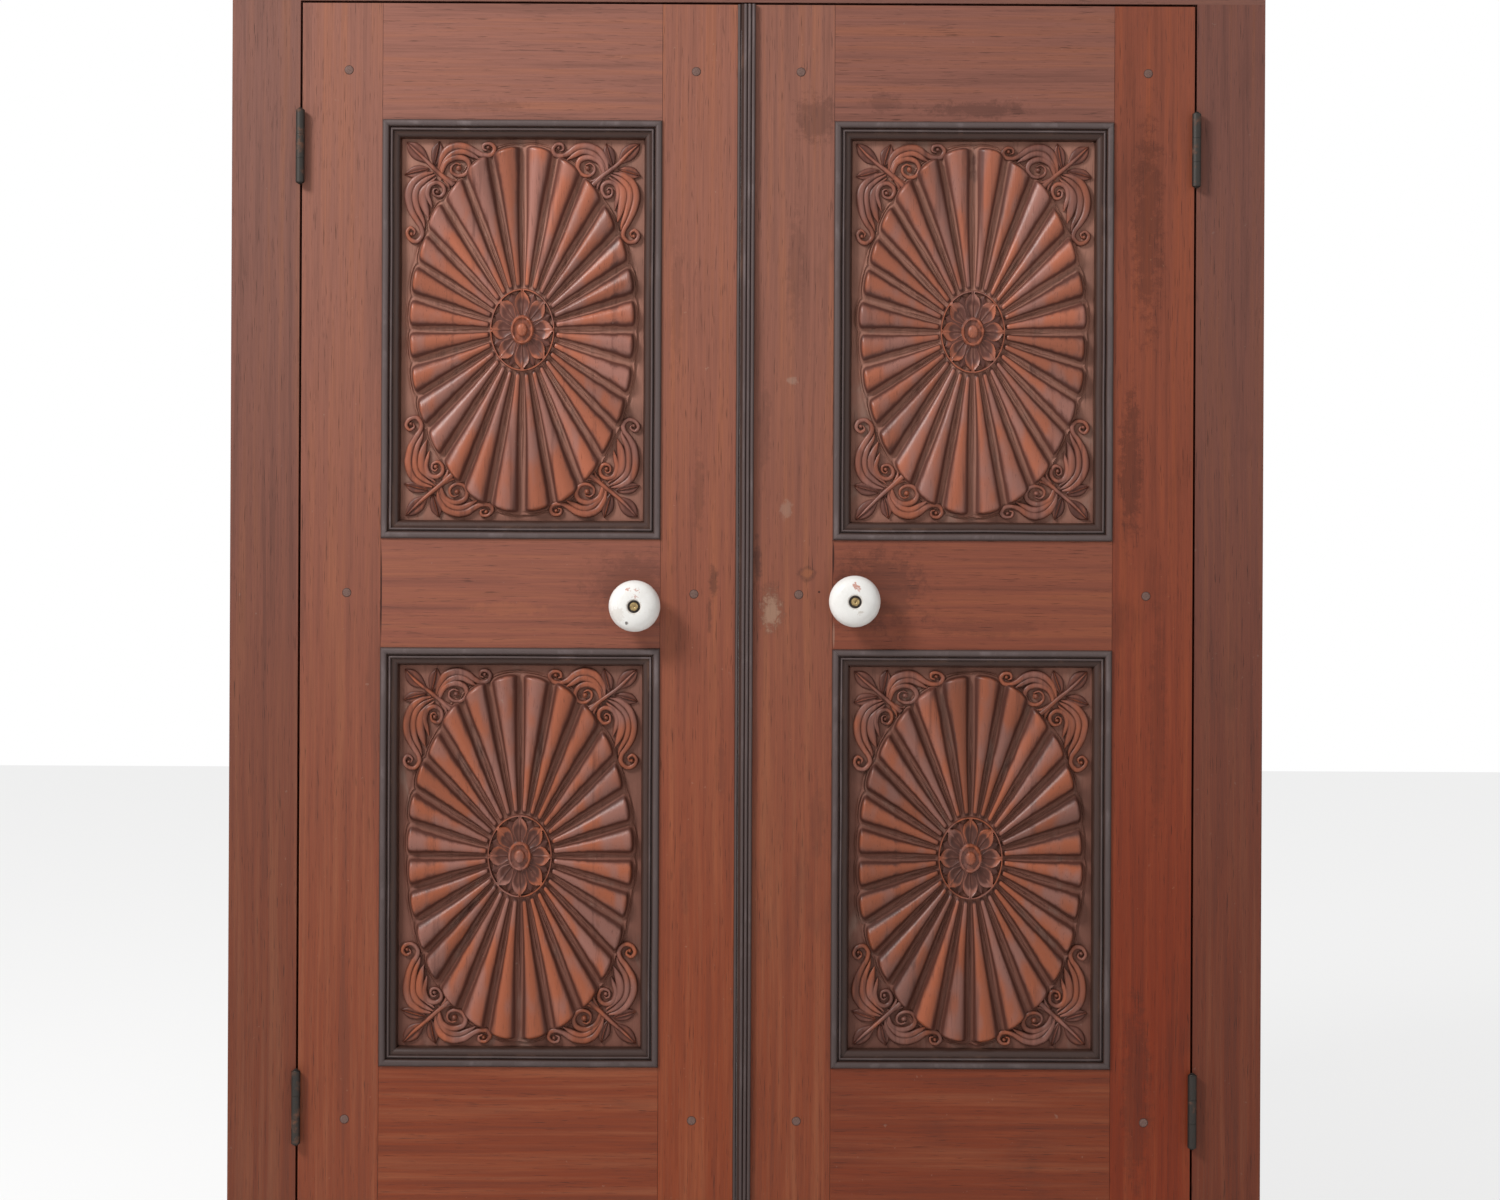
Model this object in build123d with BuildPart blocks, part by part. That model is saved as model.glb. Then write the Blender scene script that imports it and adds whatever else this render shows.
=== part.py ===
from build123d import *
import os

os.makedirs("parts", exist_ok=True)

# A carved wooden double door in its own rebated frame, in millimetres.
# The leaves' fronts face -Y and +Z is up. The origin is the middle of the sill's underside.
# Both leaves swing out towards -Y on butt hinges, and bolt from behind.

# Joinery as it shows from the front
panel_sight_width = 304
panel_sight_height = 478
bead_width = 23
hinge_stile_width = 100
left_meeting_width = 98
right_meeting_width = 114
bottom_rail_height = 270
lock_rail_height = 136
top_rail_height = 145
leaf_thickness = 40

# Frame
sill_height = 55
head_height = 95
jamb_width = 85
frame_depth = 110
stop_cover = 11
frame_tenon_width = 45
frame_tenon_thickness = 40
head_tenon_length = 50
sill_tenon_length = 35
frame_peg_radius = 6
frame_peg_back = 30

# Working gaps round the leaves
leaf_gap = 3
hinge_gap = 3
meeting_gap = 3
stop_gap = 1
meeting_bevel = 2

# Joints of the leaves
tenon_length = 75
tenon_thickness = 13
haunch = 35
twin_tenon_space = 30
tenon_fit = 0.1
tenon_end_room = 2
shoulder_gap = 0.4
peg_radius = 5.6
peg_fit = 0.1
peg_inset = 42
peg_proud = 0.4

# Carved panels and the grooves that hold them
panel_board = 12
panel_ground_depth = 14
tongue_thickness = 8
tongue_reach = 11
groove_depth = 12.5
groove_fit = 0.15
panel_clearance = 0.5

# Sunburst
rays_per_quadrant = 7
rim_margin = 9.5
ray_half_width = 17.5
ray_height = 11
ray_end_length = 10
ray_end_crest = 0.9
ray_end_foot = 0.55
rosette_half_width = 41
rosette_half_height = 52.5
rosette_rim = 3.5
rosette_rim_height = 7
rosette_floor_height = 4
petal_count = 8
petal_half_width = 9.5
petal_height = 8
petal_gap = 1
petal_root = 0.32
petal_widest = 0.55
petal_crest = 0.3
eye_ring_radius = 15
eye_ring_height = 9.5
eye_ring_width = 2.5
eye_groove = 2.5
eye_radius = 7.5
eye_height = 11.5
ray_start = 0.8
carving_root = 1

# Foliage in the panel corners: across and down from the corner of the sight
stem_root = (60, 52)
stem_fork = (30, 27)
leaf_tip = (8, 6)
stem_half_width = 2
stem_relief = 5
leaf_half_width = 7
leaf_relief = 4
leaf_crest = 0.25
leaf_widest = 0.4
side_leaf_roots = ((38, 42), (42, 36))
side_leaf_tips = ((9, 44), (39, 9))
side_leaf_half_width = 5
scroll_relief = 5
tall_scroll = ((43, 47), (8.5, 80), (19, 111), (32, 88))
wide_scroll = ((47, 42), (70, 8.5), (97, 17), (82, 28))
volutes = ((14, 120, 9), (43, 66, 10), (103, 13.5, 9), (70, 37, 10))
volute_relief = 6
volute_slope = 3

# Bead round each panel
bead_height = 18
bead_shoulder = 14.5
bead_roll = 9
bead_quirk = 1.2
small_bead = 3.4
quirk_height = 12.4
small_bead_height = 15
ovolo_top = 12
ovolo_foot = 2.4
ovolo_fullness = 0.15
mitre_gap = 0.15

# Black strips on the meeting edges
meeting_bead_width = 4.5
meeting_bead_height = 2.2
astragal_width = 15
astragal_height = 7
astragal_lip_height = 2.2
astragal_lip_fit = 0.06
reed_count = 3
reed_rise = 2

# Knobs
knob_radius = 32
knob_height = 42.5
knob_widest_at = 26
knob_foot_radius = 15.5
knob_foot_height = 3
knob_neck_radius = 12
knob_neck_at = 9
knob_throat_radius = 16
knob_throat_at = 15
knob_shoulder_radius = 27.5
knob_shoulder_at = 18.5
knob_crown_radius = 9
knob_recess_radius = 7.8
knob_recess_depth = 3.8
left_knob_inset = 31
right_knob_inset = 27
left_knob_drop = 14
right_knob_drop = 7
bolt_shank_radius = 2.9
bolt_head_radius = 5.6
bolt_head_height = 3
bolt_head_round = 1
bolt_fit = 0.2
washer_radius = 14
washer_thickness = 2
nut_radius = 7
nut_thickness = 5
nut_fit = 0.05
bolt_end = 2

# Butt hinges
hinge_height = 90
hinge_plate_thickness = 2.2
hinge_plate_reach = 30
hinge_let_in = 1
knuckle_radius = 5.5
knuckle_offset = 6.5
pin_radius = 3
pin_fit = 0.08
pin_head_radius = 4.6
pin_head_height = 3
knuckle_gap = 0.3
upper_hinge_drop = 180
lower_hinge_rise = 220
hinge_screw_spacing = 30
hinge_screw_near = 10
hinge_screw_far = 21

# Countersunk screws
screw_radius = 2
screw_head_radius = 4
screw_head_height = 2
screw_fit = 0.1
hinge_screw_length = 22
bolt_screw_length = 14

# Tower bolts on the back
bolt_plate_length = 100
bolt_plate_width = 34
bolt_plate_thickness = 3
bolt_plate_setback = 3
plate_corner = 4
rod_radius = 4.5
rod_stand_off = 6.5
rod_fit = 0.3
rod_travel = 30
rod_chamfer = 0.8
socket_fit = 1
socket_room = 1
guide_length = 14
guide_radius = 8
guide_inset = 2
keeper_wall = 2.5
thumb_radius = 6
thumb_neck_radius = 3
thumb_height = 12
thumb_clearance = 2
bolt_screw_side = 11
bolt_screw_end = 22
keeper_length = 22
keeper_setback = 3
latch_rise = 30

# Places that follow from the sizes above
opening_width = panel_sight_width + 2 * bead_width
opening_height = panel_sight_height + 2 * bead_width
left_leaf_width = hinge_stile_width + opening_width + left_meeting_width
right_leaf_width = hinge_stile_width + opening_width + right_meeting_width
rebate_width = left_leaf_width + right_leaf_width + meeting_gap + 2 * hinge_gap
frame_width = rebate_width + 2 * jamb_width
leaf_bottom = sill_height + leaf_gap
lower_opening = leaf_bottom + bottom_rail_height
lock_rail_bottom = lower_opening + opening_height
upper_opening = lock_rail_bottom + lock_rail_height
top_rail_bottom = upper_opening + opening_height
leaf_top = top_rail_bottom + top_rail_height
head_underside = leaf_top + leaf_gap
frame_top = head_underside + head_height
front = -frame_depth / 2
rear = frame_depth / 2
leaf_back = front + leaf_thickness
leaf_middle = front + leaf_thickness / 2
stop_face = leaf_back + stop_gap
sill_stop_top = leaf_bottom + stop_cover
head_stop_underside = leaf_top - stop_cover
jamb_stop = rebate_width / 2 - hinge_gap - stop_cover
ground = front + panel_ground_depth
lock_rail_middle = lock_rail_bottom + lock_rail_height / 2
rim_half_width = panel_sight_width / 2 - rim_margin
rim_half_height = panel_sight_height / 2 - rim_margin
hinge_centres = (lower_opening - bottom_rail_height + lower_hinge_rise, leaf_top - upper_hinge_drop)
axis_y = front - knuckle_offset
plate_standoff = hinge_gap / 2 + hinge_let_in - hinge_plate_thickness
rod_y = leaf_back + bolt_plate_thickness + rod_stand_off
leaf_widths = {-1: left_leaf_width, 1: right_leaf_width}
meeting_widths = {-1: left_meeting_width, 1: right_meeting_width}
side_names = {-1: "left", 1: "right"}


def across(side, distance):
    # x of a place that far from a leaf's hinge edge, on the left (-1) or the right (1)
    return side * (rebate_width / 2 - hinge_gap - distance)


def block(x_limits, y_limits, z_limits, mode=Mode.ADD):
    # a square block between two limits each way
    limits = (x_limits, y_limits, z_limits)
    with Locations(tuple(sum(pair) / 2 for pair in limits)):
        Box(*(abs(pair[1] - pair[0]) for pair in limits), mode=mode)


def round_bar(start, end, radius, mode=Mode.ADD):
    # a round bar or hole from one point to another
    run = Vector(end) - Vector(start)
    with Locations(Plane(origin=start, z_dir=run)):
        Cylinder(radius, run.length, align=(Align.CENTER, Align.CENTER, Align.MIN), mode=mode)


def save(builder, name):
    builder.part.label = name
    export_step(builder.part, f"parts/{name}.step")


# Tenons of each rail, as pairs of heights, and the panel openings in a leaf
bottom_tenon_middle = leaf_bottom + bottom_rail_height / 2
tenons = {
    "bottom": (
        (leaf_bottom + haunch, bottom_tenon_middle - twin_tenon_space / 2),
        (bottom_tenon_middle + twin_tenon_space / 2, lower_opening - groove_depth),
    ),
    "lock": ((lock_rail_bottom + groove_depth, upper_opening - groove_depth),),
    "top": ((top_rail_bottom + groove_depth, leaf_top - haunch),),
}
all_tenons = tenons["bottom"] + tenons["lock"] + tenons["top"]
openings = {"lower": lower_opening, "upper": upper_opening}
tenon_y = (leaf_middle - tenon_thickness / 2, leaf_middle + tenon_thickness / 2)
mortise_y = (tenon_y[0] - tenon_fit, tenon_y[1] + tenon_fit)
groove_half = tongue_thickness / 2 + groove_fit
groove_y = (leaf_middle - groove_half, leaf_middle + groove_half)


def peg_places(side, tenon_list):
    # x and z of the pegs that pin these tenons into both stiles
    shoulders = (hinge_stile_width, leaf_widths[side] - meeting_widths[side])
    near = across(side, shoulders[0] - peg_inset)
    far = across(side, shoulders[1] + peg_inset)
    return [(x, (low + high) / 2) for low, high in tenon_list for x in (near, far)]


def peg_holes(side, tenon_list):
    for x, z in peg_places(side, tenon_list):
        round_bar((x, front, z), (x, leaf_back, z), peg_radius + peg_fit, Mode.SUBTRACT)


pilot_radius = screw_radius + screw_fit


# Hinges: screw places on a plate, and the tower bolts' places, shared by plates and wood
def hinge_screws(centre):
    # depth from the leaf's front and height of each screw of one plate
    depths = (hinge_screw_near, hinge_screw_far, hinge_screw_near)
    heights = (-hinge_screw_spacing, 0, hinge_screw_spacing)
    return [(front + depth, centre + height) for depth, height in zip(depths, heights)]


plate_y = (front, front + hinge_plate_reach)
meeting_middle = across(-1, left_leaf_width - left_meeting_width / 2)
latch_z = lock_rail_middle + latch_rise
latch_start = across(1, right_leaf_width) + bolt_plate_setback + meeting_bevel
keeper_edge = across(-1, left_leaf_width) - keeper_setback
# each bolt: the plate's leading end on the rod's axis, and the way that the rod is thrown
bolt_mounts = {
    "top_bolt": ((meeting_middle, leaf_back, head_stop_underside - bolt_plate_setback), (0, 0, 1)),
    "bottom_bolt": ((meeting_middle, leaf_back, sill_stop_top + bolt_plate_setback), (0, 0, -1)),
    "latch_bolt": ((latch_start, leaf_back, latch_z), (-1, 0, 0)),
}


def bolt_plane(name):
    # lies on the leaf's back: x along the throw, y across the plate, z out of the leaf
    lead, throw = bolt_mounts[name]
    return Plane(origin=lead, x_dir=throw, z_dir=(0, 1, 0))


bolt_screws = [
    (-end, side * bolt_screw_side)
    for end in (bolt_screw_end, bolt_plate_length - bolt_screw_end)
    for side in (-1, 1)
]
keeper_plane = Plane(origin=(keeper_edge, leaf_back, latch_z), x_dir=(-1, 0, 0), z_dir=(0, 1, 0))
keeper_screws = [(keeper_length / 2, side * bolt_screw_side) for side in (-1, 1)]


def screw_pilots(plane, places):
    # holes in the wood under a plate that is screwed to the leaf's back
    depth = bolt_screw_length - bolt_plate_thickness + screw_fit
    for place in places:
        mouth = plane.from_local_coords((*place, 0))
        round_bar(mouth, plane.from_local_coords((*place, -depth)), pilot_radius, Mode.SUBTRACT)


# Frame: a head and a sill, rebated on the inside, across the whole width
socket_half = rod_radius + socket_fit
socket_x = (meeting_middle - socket_half, meeting_middle + socket_half)
socket_y = (rod_y - socket_half, rod_y + socket_half)
socket_depth = rod_travel - bolt_plate_setback + socket_room
jamb_middle = rebate_width / 2 + jamb_width / 2
frame_tenon_y = (-frame_tenon_thickness / 2, frame_tenon_thickness / 2)
frame_mortise_y = (frame_tenon_y[0] - tenon_fit, frame_tenon_y[1] + tenon_fit)
head_tenon_top = head_underside + head_tenon_length
sill_tenon_end = sill_height - sill_tenon_length
frame_peg_heights = (head_underside + head_tenon_length / 2, sill_height - sill_tenon_length / 2)


def frame_tenon_x(side, fit=0):
    half = frame_tenon_width / 2 + fit
    return (side * jamb_middle - half, side * jamb_middle + half)


with BuildPart() as frame_head:
    with BuildSketch(Plane.YZ.offset(-frame_width / 2)):
        with BuildLine():
            Polyline(
                (front, head_underside),
                (stop_face, head_underside),
                (stop_face, head_stop_underside),
                (rear, head_stop_underside),
                (rear, frame_top),
                (front, frame_top),
                close=True,
            )
        make_face()
    extrude(amount=frame_width)
    for side in (-1, 1):
        mortise_z = (head_stop_underside, head_tenon_top + tenon_end_room)
        block(frame_tenon_x(side, tenon_fit), frame_mortise_y, mortise_z, Mode.SUBTRACT)
        peg_line = [(side * jamb_middle, y, frame_peg_heights[0]) for y in (front, frame_peg_back)]
        round_bar(*peg_line, frame_peg_radius + peg_fit, Mode.SUBTRACT)
    socket_z = (head_stop_underside, head_stop_underside + socket_depth)
    block(socket_x, socket_y, socket_z, Mode.SUBTRACT)

with BuildPart() as frame_sill:
    with BuildSketch(Plane.YZ.offset(-frame_width / 2)):
        with BuildLine():
            Polyline(
                (front, 0),
                (rear, 0),
                (rear, sill_stop_top),
                (stop_face, sill_stop_top),
                (stop_face, sill_height),
                (front, sill_height),
                close=True,
            )
        make_face()
    extrude(amount=frame_width)
    for side in (-1, 1):
        mortise_z = (sill_tenon_end - tenon_end_room, sill_stop_top)
        block(frame_tenon_x(side, tenon_fit), frame_mortise_y, mortise_z, Mode.SUBTRACT)
        peg_line = [(side * jamb_middle, y, frame_peg_heights[1]) for y in (front, frame_peg_back)]
        round_bar(*peg_line, frame_peg_radius + peg_fit, Mode.SUBTRACT)
    block(socket_x, socket_y, (sill_stop_top - socket_depth, sill_stop_top), Mode.SUBTRACT)

save(frame_head, "frame_head")
save(frame_sill, "frame_sill")

# Jambs: their ends step over the rebates of the head and the sill, and are tenoned into them
for side in (-1, 1):
    with BuildPart() as jamb:
        with BuildSketch(Plane.XY.offset(sill_height)):
            with BuildLine():
                Polyline(
                    (side * (rebate_width / 2), front),
                    (side * (rebate_width / 2), stop_face),
                    (side * jamb_stop, stop_face),
                    (side * jamb_stop, rear),
                    (side * (frame_width / 2), rear),
                    (side * (frame_width / 2), front),
                    close=True,
                )
            make_face()
        extrude(amount=head_underside - sill_height)
        with BuildSketch(Plane.YZ.offset(-frame_width / 2)):
            with BuildLine():
                Polyline(
                    (front, sill_height),
                    (stop_face, sill_height),
                    (stop_face, sill_stop_top),
                    (rear, sill_stop_top),
                    (rear, head_stop_underside),
                    (stop_face, head_stop_underside),
                    (stop_face, head_underside),
                    (front, head_underside),
                    close=True,
                )
            make_face()
        extrude(amount=frame_width, mode=Mode.INTERSECT)
        block(frame_tenon_x(side), frame_tenon_y, (sill_tenon_end, head_tenon_top))
        for z in frame_peg_heights:
            peg_line = [(side * jamb_middle, y, z) for y in (front, frame_peg_back)]
            round_bar(*peg_line, frame_peg_radius + peg_fit, Mode.SUBTRACT)
        for centre in hinge_centres:
            let_in_x = (side * (rebate_width / 2), side * (rebate_width / 2 + hinge_let_in))
            plate_z = (centre - hinge_height / 2, centre + hinge_height / 2)
            block(let_in_x, plate_y, plate_z, Mode.SUBTRACT)
            for y, z in hinge_screws(centre):
                start = (side * (rebate_width / 2), y, z)
                end = (side * (rebate_width / 2 + hinge_screw_length), y, z)
                round_bar(start, end, screw_radius + screw_fit, Mode.SUBTRACT)
    save(jamb, f"{side_names[side]}_jamb")

with BuildPart() as frame_pegs:
    for side in (-1, 1):
        for z in frame_peg_heights:
            start = (side * jamb_middle, front - peg_proud, z)
            round_bar(start, (start[0], frame_peg_back, z), frame_peg_radius)
save(frame_pegs, "frame_pegs")


# Stiles of a leaf: mortised, grooved for the panels and bored for the pegs
screwed_on = {
    -1: (
        (bolt_plane("top_bolt"), bolt_screws),
        (bolt_plane("bottom_bolt"), bolt_screws),
        (keeper_plane, keeper_screws),
    ),
    1: ((bolt_plane("latch_bolt"), bolt_screws),),
}
for side in (-1, 1):
    width = leaf_widths[side]
    # the panel side, the outer side and the bevel of each stile, from the hinge edge
    stiles = {
        "hinge": (hinge_stile_width, 0, 0),
        "meeting": (width - meeting_widths[side], width, meeting_bevel),
    }
    for name, (shoulder, edge, edge_bevel) in stiles.items():
        inward = 1 if shoulder > edge else -1
        with BuildPart() as stile:
            with BuildSketch(Plane.XY.offset(leaf_bottom)):
                with BuildLine():
                    Polyline(
                        (across(side, edge), front),
                        (across(side, shoulder), front),
                        (across(side, shoulder), leaf_back),
                        (across(side, edge - edge_bevel), leaf_back),
                        close=True,
                    )
                make_face()
            extrude(amount=leaf_top - leaf_bottom)
            mortise_end = shoulder - inward * (tenon_length + tenon_end_room)
            mortise_x = (across(side, shoulder), across(side, mortise_end))
            for low, high in all_tenons:
                block(mortise_x, mortise_y, (low - tenon_fit, high + tenon_fit), Mode.SUBTRACT)
            groove_x = (across(side, shoulder), across(side, shoulder - inward * groove_depth))
            for low in openings.values():
                groove_z = (low - groove_depth, low + opening_height + groove_depth)
                block(groove_x, groove_y, groove_z, Mode.SUBTRACT)
            peg_holes(side, all_tenons)
            if name == "meeting":
                for plane, places in screwed_on[side]:
                    screw_pilots(plane, places)
            else:
                for centre in hinge_centres:
                    let_in_x = (across(side, 0), across(side, hinge_let_in))
                    plate_z = (centre - hinge_height / 2, centre + hinge_height / 2)
                    block(let_in_x, plate_y, plate_z, Mode.SUBTRACT)
                    for y, z in hinge_screws(centre):
                        start = (across(side, 0), y, z)
                        end = (across(side, hinge_screw_length), y, z)
                        round_bar(start, end, screw_radius + screw_fit, Mode.SUBTRACT)
        save(stile, f"{side_names[side]}_{name}_stile")

# Rails: grooved where they meet a panel, and tenoned into both stiles
knob_places = {}
knob_insets = {-1: left_knob_inset, 1: right_knob_inset}
knob_drops = {-1: left_knob_drop, 1: right_knob_drop}
for side in (-1, 1):
    knob_x = across(side, leaf_widths[side] - meeting_widths[side] - knob_insets[side])
    knob_places[side] = (knob_x, lock_rail_middle - knob_drops[side])

rails = {
    "bottom": (leaf_bottom, lower_opening, False, True),
    "lock": (lock_rail_bottom, upper_opening, True, True),
    "top": (top_rail_bottom, leaf_top, True, False),
}
for side in (-1, 1):
    far_shoulder = leaf_widths[side] - meeting_widths[side]
    body_x = (
        across(side, hinge_stile_width + shoulder_gap),
        across(side, far_shoulder - shoulder_gap),
    )
    tenon_x = (
        across(side, hinge_stile_width - tenon_length),
        across(side, far_shoulder + tenon_length),
    )
    for name, (low, high, groove_below, groove_above) in rails.items():
        with BuildPart() as rail:
            with BuildSketch(Plane.YZ.offset(min(body_x))):
                with Locations(((front + leaf_back) / 2, (low + high) / 2)):
                    Rectangle(leaf_thickness, high - low)
                groove_middles = []
                if groove_below:
                    groove_middles.append(low + groove_depth / 2)
                if groove_above:
                    groove_middles.append(high - groove_depth / 2)
                for groove_middle in groove_middles:
                    with Locations((leaf_middle, groove_middle)):
                        Rectangle(2 * groove_half, groove_depth, mode=Mode.SUBTRACT)
            extrude(amount=max(body_x) - min(body_x))
            for tenon in tenons[name]:
                block(tenon_x, tenon_y, tenon)
            peg_holes(side, tenons[name])
            if name == "lock":
                x, z = knob_places[side]
                bolt_hole = bolt_shank_radius + bolt_fit
                round_bar((x, front, z), (x, leaf_back, z), bolt_hole, Mode.SUBTRACT)
        save(rail, f"{side_names[side]}_{name}_rail")

    with BuildPart() as leaf_pegs:
        for x, z in peg_places(side, all_tenons):
            round_bar((x, front - peg_proud, z), (x, leaf_back, z), peg_radius)
    save(leaf_pegs, f"{side_names[side]}_leaf_pegs")


# The carving, drawn flat: X across, Y up, Z out of the panel's ground, centre at the origin
def from_corner(place):
    # a place given across and down from the sight's upper right corner
    return (panel_sight_width / 2 - place[0], panel_sight_height / 2 - place[1])


def pointed_leaf(root, tip, half_width, widest, share=1):
    # the corners of a leaf: a kite from root to tip, widest part of the way along,
    # drawn in to a share of its size towards its middle
    start = Vector(*root)
    along = Vector(*tip) - start
    sideways = Vector(along.Y, -along.X).normalized() * half_width
    belly = start + along * widest
    corners = (start, belly + sideways, start + along, belly - sideways)
    return [belly + (corner - belly) * share for corner in corners]


rim = EllipticalCenterArc((0, 0), rim_half_width, rim_half_height, arc_size=90)
# a ray is a cone with its axis sunk under the ground, so that a flatter arch shows above it
ray_radius = (ray_half_width**2 + ray_height**2) / (2 * ray_height)
ray_sink = ray_radius - ray_height

with BuildPart() as quadrant:
    for number in range(rays_per_quadrant):
        crest = rim @ ((number + 0.5) / rays_per_quadrant)
        along = Vector(crest.X, crest.Y, -ray_sink)
        # the half profile lies flat beside the axis, and turns over the top to the other side
        upright = along.cross(Vector(-crest.Y, crest.X, 0))
        ray_plane = Plane(origin=(0, 0, 0), x_dir=along, z_dir=upright)
        start = rosette_half_width * ray_start
        dome = along.length - ray_end_length
        slope = ray_radius / along.length
        with BuildSketch(ray_plane):
            with BuildLine():
                Polyline(
                    (start, 0),
                    (start, start * slope),
                    (dome, dome * slope),
                    (dome + ray_end_length / 2, dome * slope * ray_end_crest),
                    (dome + ray_end_length, dome * slope * ray_end_foot),
                    (dome + ray_end_length, 0),
                    close=True,
                )
            make_face()
        revolve(axis=Axis((0, 0, 0), along), revolution_arc=180)
    with BuildSketch(Plane.XY.offset(-carving_root)):
        fork = Vector(from_corner(stem_fork))
        root = Vector(from_corner(stem_root))
        across_stem = Vector(root.Y - fork.Y, fork.X - root.X).normalized() * stem_half_width
        with BuildLine():
            Polyline(root + across_stem, fork, root - across_stem, close=True)
        make_face()
    extrude(amount=carving_root + stem_relief)
    leaves = {(stem_fork, leaf_tip): leaf_half_width}
    for ends in zip(side_leaf_roots, side_leaf_tips):
        leaves[ends] = side_leaf_half_width
    for (leaf_root, tip), half_width in leaves.items():
        ends = (from_corner(leaf_root), from_corner(tip))
        for height, share in ((-carving_root, 1), (leaf_relief, leaf_crest)):
            with BuildSketch(Plane.XY.offset(height)):
                with BuildLine():
                    Polyline(*pointed_leaf(*ends, half_width, leaf_widest, share), close=True)
                make_face()
        loft(ruled=True)
    for scroll in (tall_scroll, wide_scroll):
        start, outer, end, inner = (from_corner(place) for place in scroll)
        with BuildSketch(Plane.XY.offset(-carving_root)):
            with BuildLine():
                ThreePointArc(start, outer, end)
                ThreePointArc(end, inner, start)
            make_face()
        extrude(amount=carving_root + scroll_relief)
    for across_corner, down, radius in volutes:
        with Locations(from_corner((across_corner, down))):
            Cone(
                radius,
                radius - volute_slope,
                volute_relief,
                align=(Align.CENTER, Align.CENTER, Align.MIN),
            )

board_middle = leaf_middle - ground
with BuildPart() as carved_panel:
    add(quadrant.part)
    mirror(about=Plane.YZ)
    mirror(about=Plane.XZ)
    with BuildSketch(Plane.XY):
        Rectangle(opening_width - 2 * panel_clearance, opening_height - 2 * panel_clearance)
    extrude(amount=-panel_board)
    with BuildSketch(Plane.XY.offset(-board_middle - tongue_thickness / 2)):
        Rectangle(opening_width + 2 * tongue_reach, opening_height + 2 * tongue_reach)
    extrude(amount=tongue_thickness)
    # the rosette: a rimmed oval dish with petals round a ringed eye
    with BuildSketch():
        Ellipse(rosette_half_width, rosette_half_height)
    extrude(amount=rosette_rim_height)
    with BuildSketch(Plane.XY.offset(rosette_floor_height)):
        Ellipse(rosette_half_width - rosette_rim, rosette_half_height - rosette_rim)
    extrude(amount=ray_height, mode=Mode.SUBTRACT)
    dish_edge = EllipticalCenterArc(
        (0, 0),
        rosette_half_width - rosette_rim - petal_gap,
        rosette_half_height - rosette_rim - petal_gap,
        arc_size=360,
        mode=Mode.PRIVATE,
    )
    for number in range(petal_count):
        tip = dish_edge @ (number / petal_count)
        ends = (tip * petal_root, tip)
        floor = rosette_floor_height - carving_root
        for height, share in ((floor, 1), (petal_height, petal_crest)):
            with BuildSketch(Plane.XY.offset(height)):
                with BuildLine():
                    corners = pointed_leaf(*ends, petal_half_width, petal_widest, share)
                    Polyline(*corners, close=True)
                make_face()
        loft(ruled=True)
    with BuildSketch(Plane.XY.offset(rosette_floor_height - carving_root)):
        Circle(eye_ring_radius)
    extrude(amount=carving_root + eye_ring_height - rosette_floor_height)
    with BuildSketch(Plane.XY.offset(eye_ring_height - eye_groove)):
        Circle(eye_ring_radius - eye_ring_width)
    extrude(amount=eye_groove, mode=Mode.SUBTRACT)
    with BuildSketch(Plane.XY.offset(eye_ring_height - eye_groove - carving_root)):
        Circle(eye_radius)
    extrude(amount=eye_height - eye_ring_height + eye_groove + carving_root)


# Beads round a panel, drawn flat like the carving and mitred at the corners.
# The section runs in from the opening's edge (x) and up from the ground (y).
small_start = bead_roll + bead_quirk
small_end = small_start + small_bead
ovolo_start = small_end + bead_quirk
ovolo_bulge = ovolo_fullness * (bead_width - ovolo_start)
ovolo_middle = (
    (ovolo_start + bead_width) / 2 + ovolo_bulge,
    (ovolo_top + ovolo_foot) / 2 + ovolo_bulge,
)
with BuildSketch() as bead_section:
    with BuildLine():
        Polyline((bead_width, 0), (0, 0), (0, bead_shoulder))
        ThreePointArc((0, bead_shoulder), (bead_roll / 2, bead_height), (bead_roll, bead_shoulder))
        Polyline((bead_roll, bead_shoulder), (bead_roll, quirk_height), (small_start, quirk_height))
        small_crown = ((small_start + small_end) / 2, small_bead_height)
        ThreePointArc((small_start, quirk_height), small_crown, (small_end, quirk_height))
        Line((small_end, quirk_height), (ovolo_start, ovolo_top))
        ThreePointArc((ovolo_start, ovolo_top), ovolo_middle, (bead_width, ovolo_foot))
        Line((bead_width, ovolo_foot), (bead_width, 0))
    make_face()

half_width = opening_width / 2
half_height = opening_height / 2
with BuildPart() as side_beads:
    with BuildSketch(Plane(origin=(-half_width, 0, 0), x_dir=(1, 0, 0), z_dir=(0, -1, 0))):
        add(bead_section.sketch)
    extrude(amount=half_height, both=True)
    for end in (-1, 1):
        corner = (-half_width - mitre_gap, end * half_height, 0)
        split(bisect_by=Plane(origin=corner, z_dir=(1, end, 0)), keep=Keep.BOTTOM)
    mirror(about=Plane.YZ)

with BuildPart() as end_beads:
    with BuildSketch(Plane(origin=(0, half_height, 0), x_dir=(0, -1, 0), z_dir=(-1, 0, 0))):
        add(bead_section.sketch)
    extrude(amount=half_width, both=True)
    for end in (-1, 1):
        corner = (end * half_width, half_height + mitre_gap, 0)
        split(bisect_by=Plane(origin=corner, z_dir=(end, -1, 0)), keep=Keep.BOTTOM)
    mirror(about=Plane.XZ)

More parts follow.
